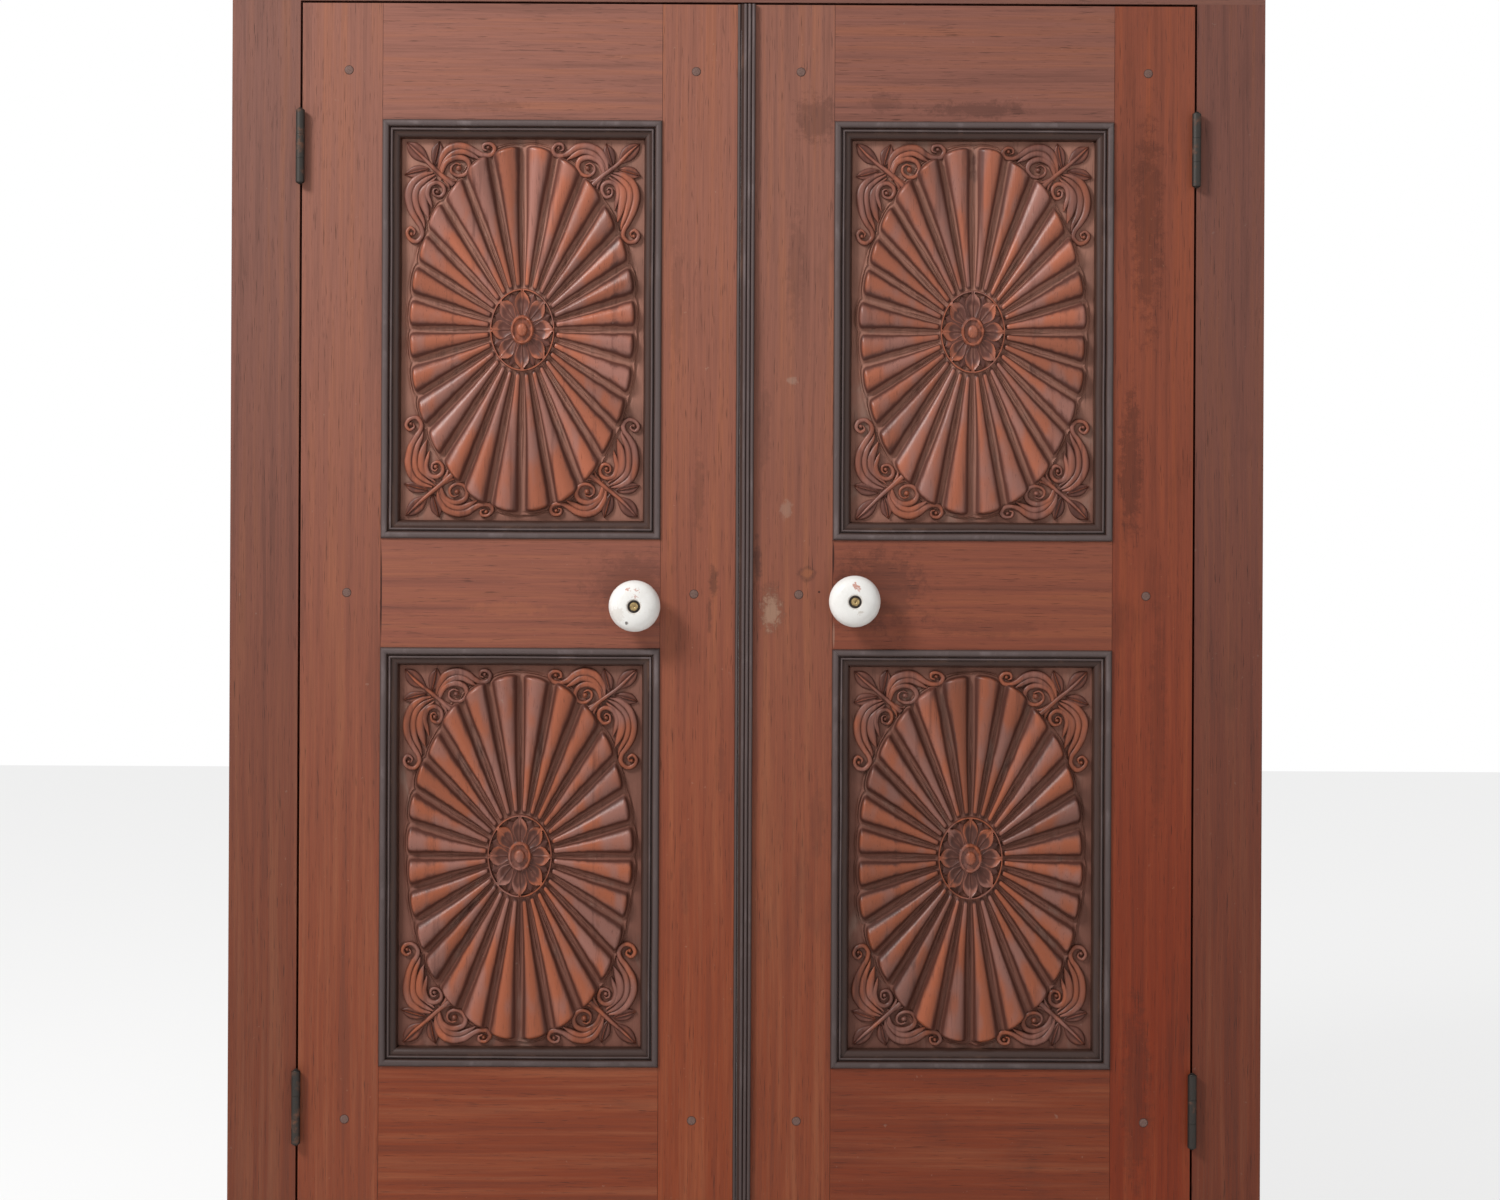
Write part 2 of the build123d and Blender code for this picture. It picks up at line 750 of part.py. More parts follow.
# The four panels and their beads, stood up in the leaves
for side in (-1, 1):
    centre_x = across(side, hinge_stile_width + opening_width / 2)
    for name, low in openings.items():
        place = (centre_x, ground, low + opening_height / 2)
        pieces = {"panel": carved_panel, "side_beads": side_beads, "end_beads": end_beads}
        for piece_name, flat_piece in pieces.items():
            with BuildPart() as placed:
                with Locations(place):
                    add(flat_piece.part, rotation=(90, 0, 0))
            save(placed, f"{side_names[side]}_{name}_{piece_name}")

# Strips planted on the meeting edges: a half-round bead, and a reeded astragal whose
# lip closes the gap between the leaves
with BuildPart() as left_meeting_bead:
    outer = across(-1, left_leaf_width)
    with BuildSketch(Plane.XY.offset(leaf_bottom)):
        with BuildLine():
            crown = (outer - meeting_bead_width / 2, front - meeting_bead_height)
            ThreePointArc((outer, front), crown, (outer - meeting_bead_width, front))
            Line((outer - meeting_bead_width, front), (outer, front))
        make_face()
    extrude(amount=leaf_top - leaf_bottom)
save(left_meeting_bead, "left_meeting_bead")

with BuildPart() as right_meeting_astragal:
    outer = across(1, right_leaf_width)
    reed = astragal_width / reed_count
    reed_foot = front - astragal_height + reed_rise
    lip_edge = across(-1, left_leaf_width) + astragal_lip_fit
    lip_face = front - astragal_lip_height
    with BuildSketch(Plane.XY.offset(leaf_bottom)):
        with BuildLine():
            Polyline((outer, reed_foot), (outer, lip_face), (lip_edge, lip_face), (lip_edge, front))
            Polyline(
                (lip_edge, front),
                (outer + astragal_width, front),
                (outer + astragal_width, reed_foot),
            )
            for number in range(reed_count):
                start = outer + number * reed
                crown = (start + reed / 2, front - astragal_height)
                ThreePointArc((start, reed_foot), crown, (start + reed, reed_foot))
        make_face()
    extrude(amount=leaf_top - leaf_bottom)
save(right_meeting_astragal, "right_meeting_astragal")

# Glazed knobs, each held by a bolt through the lock rail with a washer and nut behind
bolt_tail = leaf_back + washer_thickness + nut_thickness + bolt_end
for side in (-1, 1):
    x, z = knob_places[side]
    name = side_names[side]
    # across the knob and out from the leaf
    knob_plane = Plane(origin=(x, front, z), x_dir=(1, 0, 0), z_dir=(0, 0, -1))
    bore = bolt_shank_radius + bolt_fit
    recess_floor = knob_height - knob_recess_depth
    with BuildPart() as knob:
        with BuildSketch(knob_plane):
            with BuildLine():
                Polyline((bore, 0), (knob_foot_radius, 0), (knob_foot_radius, knob_foot_height))
                ThreePointArc(
                    (knob_foot_radius, knob_foot_height),
                    (knob_neck_radius, knob_neck_at),
                    (knob_throat_radius, knob_throat_at),
                )
                ThreePointArc(
                    (knob_throat_radius, knob_throat_at),
                    (knob_shoulder_radius, knob_shoulder_at),
                    (knob_radius, knob_widest_at),
                )
                EllipticalCenterArc(
                    (knob_crown_radius, knob_widest_at),
                    knob_radius - knob_crown_radius,
                    knob_height - knob_widest_at,
                    arc_size=90,
                )
                Polyline(
                    (knob_crown_radius, knob_height),
                    (knob_recess_radius, knob_height),
                    (knob_recess_radius, recess_floor),
                    (bore, recess_floor),
                    (bore, 0),
                )
            make_face()
        revolve(axis=Axis((x, front, z), (0, -1, 0)))
    save(knob, f"{name}_knob")

    seat = front - recess_floor
    with BuildPart() as knob_bolt:
        round_bar((x, seat, z), (x, seat - bolt_head_height, z), bolt_head_radius)
        fillet(edges().group_by(Axis.Y)[0], bolt_head_round)
        round_bar((x, seat, z), (x, bolt_tail, z), bolt_shank_radius)
    save(knob_bolt, f"{name}_knob_bolt")

    with BuildPart() as knob_washer:
        round_bar((x, leaf_back, z), (x, leaf_back + washer_thickness, z), washer_radius)
        round_bar((x, leaf_back, z), (x, bolt_tail, z), bore, Mode.SUBTRACT)
    save(knob_washer, f"{name}_knob_washer")

    with BuildPart() as knob_nut:
        nut_seat = (x, leaf_back + washer_thickness, z)
        with BuildSketch(Plane(origin=nut_seat, z_dir=(0, 1, 0))):
            RegularPolygon(nut_radius, 6)
            Circle(bolt_shank_radius + nut_fit, mode=Mode.SUBTRACT)
        extrude(amount=nut_thickness)
    save(knob_nut, f"{name}_knob_nut")


# Butt hinges: three knuckles on a pin, the middle one on the leaf's plate
def screw(plane, length):
    # a countersunk screw with its head flush with the plane
    sunk = (Align.CENTER, Align.CENTER, Align.MAX)
    with Locations(plane):
        Cone(screw_radius, screw_head_radius, screw_head_height, align=sunk)
        Cylinder(screw_radius, length, align=sunk)


def screw_hole(plane):
    with Locations(plane):
        CounterSinkHole(
            radius=screw_radius + screw_fit,
            counter_sink_radius=screw_head_radius + screw_fit,
            depth=hinge_screw_length,
            counter_sink_angle=90,
        )


knuckle_height = hinge_height / 3
plate_start = axis_y + knuckle_radius + knuckle_gap
screw_planes = {"frame": [], "left_leaf": [], "right_leaf": []}
for side in (-1, 1):
    axis_x = side * (rebate_width / 2 - hinge_gap / 2)
    side_name = side_names[side]
    with BuildPart() as hinge_pins:
        for centre in hinge_centres:
            top = centre + hinge_height / 2
            bottom = centre - hinge_height / 2
            round_bar((axis_x, axis_y, bottom), (axis_x, axis_y, top), pin_radius)
            head_end = (axis_x, axis_y, top + pin_head_height)
            round_bar((axis_x, axis_y, top), head_end, pin_head_radius)
            foot_end = (axis_x, axis_y, bottom - pin_head_height)
            round_bar((axis_x, axis_y, bottom), foot_end, pin_head_radius)
    save(hinge_pins, f"{side_name}_hinge_pins")

    for level, centre in zip(("lower", "upper"), hinge_centres):
        bottom = centre - hinge_height / 2
        third = bottom + knuckle_height
        two_thirds = third + knuckle_height
        top = centre + hinge_height / 2
        leaf_knuckle = (third + knuckle_gap, two_thirds - knuckle_gap)
        # each plate: which way it lies from the pin, its knuckles, and what it is screwed to
        plates = {
            "frame": (side, ((bottom, third), (two_thirds, top)), "frame"),
            "leaf": (-side, (leaf_knuckle,), f"{side_name}_leaf"),
        }
        for plate_name, (away, knuckles, carrier) in plates.items():
            near_x = axis_x + away * plate_standoff
            far_x = near_x + away * hinge_plate_thickness
            with BuildPart() as plate:
                plate_z = (bottom, top)
                block((near_x, far_x), (plate_start, front + hinge_plate_reach), plate_z)
                for knuckle in knuckles:
                    block((near_x, far_x), (axis_y, plate_start), knuckle)
                    ends = [(axis_x, axis_y, z) for z in knuckle]
                    round_bar(*ends, knuckle_radius)
                for knuckle in knuckles:
                    ends = [(axis_x, axis_y, z) for z in knuckle]
                    round_bar(*ends, pin_radius + pin_fit, Mode.SUBTRACT)
                for y, z in hinge_screws(centre):
                    screw_plane = Plane(origin=(near_x, y, z), z_dir=(-away, 0, 0))
                    screw_hole(screw_plane)
                    screw_planes[carrier].append((screw_plane, hinge_screw_length))
            save(plate, f"{side_name}_{level}_hinge_{plate_name}_plate")


# Tower bolts: a plate with two guides, and a round rod with a thumb knob that slides in them
def guide_plane(plane, lead):
    # stands across the rod: x across the plate, y out of the leaf, z along the throw
    origin = plane.from_local_coords((lead, 0, 0))
    return Plane(origin=origin, x_dir=plane.y_dir, z_dir=plane.x_dir)


rod_height = bolt_plate_thickness + rod_stand_off
lead_guide = -guide_inset
rear_guide = -bolt_plate_length + guide_inset + guide_length
for name in bolt_mounts:
    plane = bolt_plane(name)
    with BuildPart() as bolt_plate:
        with BuildSketch(plane):
            with Locations((-bolt_plate_length / 2, 0)):
                RectangleRounded(bolt_plate_length, bolt_plate_width, plate_corner)
        extrude(amount=bolt_plate_thickness)
        for lead in (lead_guide, rear_guide):
            with BuildSketch(guide_plane(plane, lead)):
                with Locations((0, rod_height / 2)):
                    Rectangle(2 * guide_radius, rod_height)
                with Locations((0, rod_height)):
                    Circle(guide_radius)
                    Circle(rod_radius + rod_fit, mode=Mode.SUBTRACT)
            extrude(amount=-guide_length)
        for place in bolt_screws:
            mouth = plane.from_local_coords((*place, bolt_plate_thickness))
            screw_plane = Plane(origin=mouth, z_dir=plane.z_dir)
            screw_hole(screw_plane)
            carrier = "right_leaf" if name == "latch_bolt" else "left_leaf"
            screw_planes[carrier].append((screw_plane, bolt_screw_length))
    save(bolt_plate, f"{name}_plate")

    with BuildPart() as rod:
        tip = plane.from_local_coords((0, 0, rod_height))
        tail = plane.from_local_coords((-bolt_plate_length - rod_travel, 0, rod_height))
        round_bar(tail, tip, rod_radius)
        chamfer(edges().filter_by(GeomType.CIRCLE), rod_chamfer)
        thumb = rear_guide + thumb_clearance + thumb_radius
        neck_end = rod_height + thumb_height
        neck = [plane.from_local_coords((thumb, 0, out)) for out in (rod_height, neck_end)]
        round_bar(*neck, thumb_neck_radius)
        with Locations(neck[1]):
            Sphere(thumb_radius)
    save(rod, f"{name}_rod")

with BuildPart() as keeper:
    with BuildSketch(keeper_plane):
        with Locations((keeper_length / 2, 0)):
            RectangleRounded(keeper_length, bolt_plate_width, plate_corner)
    extrude(amount=bolt_plate_thickness)
    room = rod_radius + socket_fit
    loop_top = rod_height + room
    with BuildSketch(guide_plane(keeper_plane, (keeper_length - guide_length) / 2)):
        with Locations((0, (loop_top + keeper_wall) / 2)):
            Rectangle(2 * (room + keeper_wall), loop_top + keeper_wall)
        with Locations((0, (bolt_plate_thickness + loop_top) / 2)):
            Rectangle(2 * room, loop_top - bolt_plate_thickness, mode=Mode.SUBTRACT)
    extrude(amount=guide_length)
    for place in keeper_screws:
        mouth = keeper_plane.from_local_coords((*place, bolt_plate_thickness))
        screw_plane = Plane(origin=mouth, z_dir=keeper_plane.z_dir)
        screw_hole(screw_plane)
        screw_planes["left_leaf"].append((screw_plane, bolt_screw_length))
save(keeper, "latch_bolt_keeper")

for carrier, places in screw_planes.items():
    with BuildPart() as screws:
        for screw_plane, length in places:
            screw(screw_plane, length)
    save(screws, f"{carrier}_screws")
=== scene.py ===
import math
import bmesh
import bpy
import numpy as np
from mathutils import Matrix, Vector


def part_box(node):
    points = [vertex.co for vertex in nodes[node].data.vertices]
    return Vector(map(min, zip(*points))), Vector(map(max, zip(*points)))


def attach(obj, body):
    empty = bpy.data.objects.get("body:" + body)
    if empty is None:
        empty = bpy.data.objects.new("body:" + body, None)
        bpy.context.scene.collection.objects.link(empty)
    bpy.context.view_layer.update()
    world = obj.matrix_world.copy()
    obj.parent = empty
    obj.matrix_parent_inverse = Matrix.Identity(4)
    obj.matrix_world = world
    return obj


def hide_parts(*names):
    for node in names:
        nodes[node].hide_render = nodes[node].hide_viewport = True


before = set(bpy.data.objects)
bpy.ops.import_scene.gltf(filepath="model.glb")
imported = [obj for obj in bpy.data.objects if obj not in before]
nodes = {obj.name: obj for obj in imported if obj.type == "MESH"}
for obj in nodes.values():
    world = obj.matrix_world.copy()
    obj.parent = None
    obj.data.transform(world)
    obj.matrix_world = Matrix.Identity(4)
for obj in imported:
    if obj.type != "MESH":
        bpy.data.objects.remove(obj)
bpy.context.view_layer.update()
mm = 0.001
sides = {"left": -1, "right": 1}
levels = ("lower", "upper")
print("frame loaded,", len(nodes), "nodes")


# Meshes: a piece is gathered from grids of points, in mm, and made at once

def nodeBox(name):
    # lowest and highest corner of a CAD node, in mm
    low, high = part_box(name)
    return np.array(low) / mm, np.array(high) / mm


def newShell():
    # what the grids of one piece are gathered in
    return {"points": [], "quads": [], "caps": [], "crest": [], "tint": [], "count": 0}


def addGrid(shell, grid, ring=False, crest=0.0, tint=0.0):
    # grid holds rows x columns x 3. Neighbouring points make the faces, and the last column joins
    # the first. A ring joins its last row to its first; otherwise a cap closes each end.
    rows, columns = grid.shape[:2]
    index = shell["count"] + np.arange(rows * columns).reshape(rows, columns)
    left = np.vstack([index, index[:1]]) if ring else index
    right = np.roll(left, -1, axis=1)
    quads = np.stack([left[:-1], right[:-1], right[1:], left[1:]], axis=-1)
    shell["quads"].append(quads.reshape(-1, 4))
    if not ring:
        shell["caps"] += [index[0][::-1], index[-1]]
    shell["points"].append(grid.reshape(-1, 3))
    shell["crest"].append(np.broadcast_to(crest, (rows, columns)).ravel())
    shell["tint"].append(np.broadcast_to(tint, (rows, columns)).ravel())
    shell["count"] += rows * columns


def makePiece(shell, name, material, body, replaced=(), crease=40):
    # writes the gathered grids to one mesh, turns its faces outwards and hangs it on its body
    mesh = bpy.data.meshes.new(name)
    quads = np.concatenate(shell["quads"])
    corners = np.concatenate([quads.ravel()] + shell["caps"]).astype(np.int32)
    sizes = np.array([4] * len(quads) + [len(cap) for cap in shell["caps"]])
    starts = np.concatenate([[0], np.cumsum(sizes)[:-1]]).astype(np.int32)
    mesh.vertices.add(shell["count"])
    mesh.vertices.foreach_set("co", (np.concatenate(shell["points"]) * mm).ravel())
    mesh.loops.add(len(corners))
    mesh.loops.foreach_set("vertex_index", corners)
    mesh.polygons.add(len(sizes))
    mesh.polygons.foreach_set("loop_start", starts)
    mesh.update(calc_edges=True)
    shaped = bmesh.new()
    shaped.from_mesh(mesh)
    bmesh.ops.recalc_face_normals(shaped, faces=shaped.faces)
    shaped.to_mesh(mesh)
    shaped.free()
    for mark in ("crest", "tint"):
        values = mesh.attributes.new(mark, "FLOAT", "POINT")
        values.data.foreach_set("value", np.concatenate(shell[mark]).astype(np.float32))
    mesh.shade_smooth()
    mesh.set_sharp_from_angle(angle=math.radians(crease))
    mesh.materials.append(material)
    piece = bpy.data.objects.new(name, mesh)
    bpy.context.scene.collection.objects.link(piece)
    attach(piece, body)
    if replaced:
        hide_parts(*replaced)


def curveThrough(points, steps):
    # a smooth line through the points: each span is a cubic whose slope at a point is half
    # the step between that point's neighbours
    points = np.asarray(points, float)
    padded = np.vstack([2 * points[0] - points[1], points, 2 * points[-1] - points[-2]])
    at = np.linspace(0, len(points) - 1, steps * (len(points) - 1) + 1)
    span = np.minimum(at.astype(int), len(points) - 2)
    t = (at - span)[:, None]
    a, b, c, d = (padded[span + n] for n in range(4))
    square, cube = 2 * a - 5 * b + 4 * c - d, 3 * b - a - 3 * c + d
    return 0.5 * (2 * b + (c - a) * t + square * t**2 + cube * t**3)


def smoothStep(value, low, high):
    # 0 at low and 1 at high, with soft ends
    t = np.clip((value - low) / (high - low), 0, 1)
    return t * t * (3 - 2 * t)


def ripple(rng, x, z, wave, size):
    # slow unevenness of handwork: six sines of random direction and phase, added
    total = np.zeros(np.broadcast(x, z).shape)
    for _ in range(6):
        turn, phase = rng.uniform(0, 2 * np.pi, 2)
        length = wave * rng.uniform(0.6, 1.6)
        total = total + np.sin((x * np.cos(turn) + z * np.sin(turn)) * 2 * np.pi / length + phase)
    return size * total / 6**0.5


# Materials: shared effects are groups, and each finish places them with its own values

def feed(tree, value, target):
    # links another node's output to a socket, or sets it to a plain value
    if isinstance(value, bpy.types.NodeSocket):
        tree.links.new(value, target)
    else:
        target.default_value = value


def addNode(tree, kind, inputs=(), **settings):
    made = tree.nodes.new("ShaderNode" + kind)
    for name, value in settings.items():
        setattr(made, name, value)
    pairs = inputs.items() if isinstance(inputs, dict) else enumerate(inputs)
    for key, value in pairs:
        feed(tree, value, made.inputs[key])
    return made


def maths(tree, operation, first, second):
    return addNode(tree, "Math", [first, second], operation=operation).outputs[0]


def times(tree, first, second):
    return maths(tree, "MULTIPLY", first, second)


def plus(tree, first, second):
    return maths(tree, "ADD", first, second)


def mixed(tree, factor, first, second, blend="MIX"):
    inputs = {0: factor, 6: first, 7: second}
    return addNode(tree, "Mix", inputs, data_type="RGBA", blend_type=blend).outputs[2]


def spread(tree, value, low, high, newLow=0.0, newHigh=1.0):
    # stretches one range of values to another, with soft ends
    inputs = {0: value, 1: low, 2: high, 3: newLow, 4: newHigh}
    return addNode(tree, "MapRange", inputs, interpolation_type="SMOOTHSTEP").outputs[0]


def noise(tree, vector, scale, detail=4.0, roughness=0.55, distortion=0.0):
    inputs = {
        "Vector": vector, "Scale": scale, "Detail": detail,
        "Roughness": roughness, "Distortion": distortion,
    }
    return addNode(tree, "TexNoise", inputs).outputs["Fac"]


def stretched(tree, vector, scale, location=(0.0, 0.0, 0.0), rotation=(0.0, 0.0, 0.0)):
    inputs = {"Vector": vector, "Location": location, "Rotation": rotation, "Scale": scale}
    return addNode(tree, "Mapping", inputs).outputs[0]


def ownPlace(tree):
    # the place on a piece in its own coordinates, in metres
    return addNode(tree, "TexCoord").outputs["Object"]


def heightOf(tree, place):
    return addNode(tree, "SeparateXYZ", [place]).outputs["Z"]


def pointValue(tree, name):
    # what the mesh's points carry: how high and open a point is, which sets its wear, painted shade
    # and painted highlight, or the tint of one cut
    return addNode(tree, "Attribute", attribute_name=name).outputs["Fac"]


def newGroup(name, inputs, outputs):
    # an empty group with its sockets; returns the group, its input node and its output node
    group = bpy.data.node_groups.new(name, "ShaderNodeTree")
    for label, kind, value in inputs:
        socket = group.interface.new_socket(label, in_out="INPUT", socket_type="NodeSocket" + kind)
        if value is not None:
            socket.default_value = value
    for label, kind in outputs:
        group.interface.new_socket(label, in_out="OUTPUT", socket_type="NodeSocket" + kind)
    return group, group.nodes.new("NodeGroupInput"), group.nodes.new("NodeGroupOutput")


def placeGroup(tree, group, inputs):
    placed = tree.nodes.new("ShaderNodeGroup")
    placed.node_tree = group
    for key, value in inputs.items():
        feed(tree, value, placed.inputs[key])
    return placed.outputs


def woodGrainGroup():
    # teak whose fibres run along Z: broad figure, fine fibres, and short dark pores
    group, given, result = newGroup(
        "woodGrain",
        [("Vector", "Vector", None), ("Waver", "Float", 0.012)],
        [("Figure", "Float"), ("Fibres", "Float"), ("Pores", "Float")],
    )
    place = given.outputs["Vector"]
    bend = noise(group, stretched(group, place, (5.0, 5.0, 1.6)), 1.0, 2.0)
    bend = times(group, maths(group, "SUBTRACT", bend, 0.5), given.outputs["Waver"])
    shift = addNode(group, "CombineXYZ", [bend, bend, 0.0]).outputs[0]
    place = addNode(group, "VectorMath", [place, shift], operation="ADD").outputs[0]
    figure = noise(group, stretched(group, place, (85.0, 85.0, 2.2)), 1.0, 5.0, 0.62)
    fibres = noise(group, stretched(group, place, (620.0, 620.0, 9.0)), 1.0, 3.0, 0.6)
    dashes = noise(group, stretched(group, place, (900.0, 900.0, 34.0)), 1.0, 2.0, 0.5)
    feed(group, figure, result.inputs["Figure"])
    feed(group, fibres, result.inputs["Fibres"])
    feed(group, spread(group, dashes, 0.62, 0.74), result.inputs["Pores"])
    return group


def smudgeGroup():
    # old handling and damp: broad soft blotches, and small scattered flecks
    group, given, result = newGroup(
        "smudges",
        [("Vector", "Vector", None), ("Size", "Float", 9.0), ("Cover", "Float", 0.45)],
        [("Blotches", "Float"), ("Flecks", "Float")],
    )
    place = given.outputs["Vector"]
    longer = stretched(group, place, (1.0, 1.0, 0.45))
    broad = noise(group, longer, given.outputs["Size"], 6.0, 0.6, 0.6)
    edge = maths(group, "SUBTRACT", 1.0, given.outputs["Cover"])
    small = noise(group, place, 130.0, 3.0, 0.6)
    feed(group, spread(group, broad, edge, plus(group, edge, 0.22)), result.inputs["Blotches"])
    feed(group, spread(group, small, 0.70, 0.76), result.inputs["Flecks"])
    return group


woodGrain = woodGrainGroup()
smudges = smudgeGroup()


def newMaterial(name):
    # a material, with its node tree and its shader
    material = bpy.data.materials.new(name)
    material.use_nodes = True
    tree = material.node_tree
    return material, tree, tree.nodes["Principled BSDF"]


def finishWith(tree, shader, colour, roughness, height, bump, sheen=0.5):
    # feeds a material's shader: colour, gloss, relief of a depth in mm, and how much it mirrors
    feed(tree, colour, shader.inputs["Base Color"])
    feed(tree, roughness, shader.inputs["Roughness"])
    inputs = {"Height": height, "Distance": bump * mm, "Strength": 1.0}
    feed(tree, addNode(tree, "Bump", inputs).outputs[0], shader.inputs["Normal"])
    shader.inputs["Specular IOR Level"].default_value = sheen


# Colours of the waxed boards, and how strongly each part of the wood shows
boardColours = {
    "high": (0.240, 0.098, 0.070, 1.0),
    "low": (0.205, 0.044, 0.016, 1.0),
    "light": (0.330, 0.118, 0.055, 1.0),
    "dark": (0.062, 0.026, 0.020, 1.0),
    "pore": (0.035, 0.012, 0.008, 1.0),
    "dust": (0.300, 0.205, 0.160, 1.0),
    "filler": (0.330, 0.200, 0.140, 1.0),
}
boardWear = {
    "heights": (0.25, 1.50),    # from here up to there, in m, the low colour turns to the high one, paler and greyer: a painted reflection of the sky
    "light": 0.45,
    "dark": 0.30,
    "fibres": 0.16,
    "pores": 0.60,
    "smudges": 0.38,
    "flecks": 0.35,
    "roughness": (0.40, 0.60),
    "relief": 0.16,
    "sheen": 0.20,
    "ragged": 3.2,              # how far noise breaks the edge of a mark
    "markDepth": 12.0,          # how deep a mark goes into the board, in mm
    "sharpest": 2.0,            # a mark narrower than this, in mm, is a clean edged crack or hole
}
# What time left on single boards: (x, z, half width, half height) in mm, colour and strength
boardMarks = {
    "left_meeting_stile": (
        ((-41, 936, 7, 24), "dark", 0.55), ((-46, 892, 3, 26), "dark", 0.45),
        ((-60, 1050, 8, 60), "dark", 0.30), ((-88, 1290, 10, 90), "dark", 0.18),
        ((-30, 700, 5, 60), "dark", 0.22), ((-75, 560, 8, 50), "dark", 0.18),
    ),
    "right_meeting_stile": (
        ((30, 903, 17, 34), "dark", 0.45), ((31, 900, 13, 27), "filler", 0.75),
        ((14, 962, 6, 30), "dark", 0.60), ((76, 947, 12, 11), "dark", 0.45),
        ((76, 947, 7.5, 6.5), "light", 0.55), ((91, 923.4, 1.8, 1.8), "pore", 0.95),
        ((55, 1187, 8, 5), "dust", 0.45), ((49, 1025, 9, 12), "dust", 0.40),
        ((85, 1515, 34, 36), "dark", 0.40), ((60, 1330, 12, 80), "dark", 0.25),
        ((22, 1130, 9, 60), "dark", 0.22), ((90, 640, 10, 60), "dark", 0.20),
    ),
    "left_lock_rail": (
        ((-456.4, 920, 1.3, 70), "pore", 0.95), ((-146, 930, 60, 48), "dark", 0.30),
        ((-300, 900, 60, 10), "light", 0.30),
    ),
    "right_lock_rail": (
        ((108.8, 966, 1.3, 26), "pore", 0.95), ((109.4, 870, 1.6, 20), "dust", 0.60),
        ((165, 925, 70, 60), "dark", 0.40), ((300, 880, 90, 12), "dark", 0.20),
    ),
    "right_hinge_stile": (
        ((500, 1380, 22, 150), "dark", 0.45), ((480, 1080, 16, 110), "dark", 0.50),
        ((515, 760, 12, 160), "dark", 0.25), ((490, 300, 20, 140), "dark", 0.35),
    ),
    "right_top_rail": (((290, 1528, 80, 12), "dark", 0.45), ((170, 1536, 30, 14), "dark", 0.30)),
    "left_top_rail": (((-330, 1530, 60, 10), "dark", 0.20),),
}


# The planes of the leaves' front and back, along Y in mm
leafFront, leafBack = (float(corner[1]) for corner in nodeBox("left_hinge_stile"))


def boardMaterial(name, grain, tone, grey, cover, offset, marks=()):
    # a waxed board: it pales and greys towards the top as a painted reflection of the sky, with
    # figure, pores, smudges and dust
    material, tree, shader = newMaterial(name)
    colours, wear = boardColours, boardWear
    place = ownPlace(tree)
    turned = (0.0, math.radians(90), 0.0) if grain == "across" else (0.0, 0.0, 0.0)
    shift = (offset, offset * 0.7, offset * 1.9)    # each board is cut from another place
    along = stretched(tree, place, (1.0, 1.0, 1.0), shift, turned)
    wood = placeGroup(tree, woodGrain, {"Vector": along})
    dirtAndShade = placeGroup(tree, smudges, {"Vector": along, "Cover": cover})
    figure, fibres = wood["Figure"], wood["Fibres"]
    rise = spread(tree, heightOf(tree, place), *wear["heights"])
    # painted reflection: the board's colour pales and greys with height
    base = mixed(tree, rise, colours["low"], colours["high"])
    base = mixed(tree, spread(tree, figure, 0.44, 0.72, 0.0, wear["light"]), base, colours["light"])
    base = mixed(tree, spread(tree, figure, 0.32, 0.48, wear["dark"], 0.0), base, colours["dark"])
    base = mixed(tree, spread(tree, fibres, 0.40, 0.62, wear["fibres"], 0.0), base, colours["dark"])
    base = mixed(tree, times(tree, wood["Pores"], wear["pores"]), base, colours["pore"])
    base = mixed(tree, times(tree, dirtAndShade["Blotches"], wear["smudges"]), base, colours["dark"])
    base = mixed(tree, grey, base, colours["dust"])
    rough = maths(tree, "SUBTRACT", noise(tree, place, 70.0, 8.0, 0.8), 0.5)
    rough = times(tree, rough, wear["ragged"])
    deep = wear["markDepth"]
    for (x, z, halfWidth, halfHeight), colour, strength in marks:
        # the place is moved and scaled so that the mark's edge lies 1 from its middle, which is on
        # the leaf's front, and no mark comes through to the back
        size = (1 / (halfWidth * mm), 1 / (deep * mm), 1 / (halfHeight * mm))
        moved = (-x / halfWidth, -leafFront / deep, -z / halfHeight)
        away = stretched(tree, place, size, moved)
        away = addNode(tree, "VectorMath", [away], operation="LENGTH").outputs["Value"]
        if halfWidth > wear["sharpest"]:
            away = plus(tree, away, rough)
        base = mixed(tree, spread(tree, away, 0.45, 1.05, strength, 0.0), base, colours[colour])
    base = mixed(tree, times(tree, dirtAndShade["Flecks"], wear["flecks"]), base, colours["dust"])
    base = mixed(tree, 1.0, base, (*tone, 1.0), "MULTIPLY")
    roughness = spread(tree, fibres, 0.3, 0.7, *wear["roughness"])
    relief = maths(tree, "SUBTRACT", fibres, wood["Pores"])
    finishWith(tree, shader, base, roughness, relief, wear["relief"], wear["sheen"])
    return material


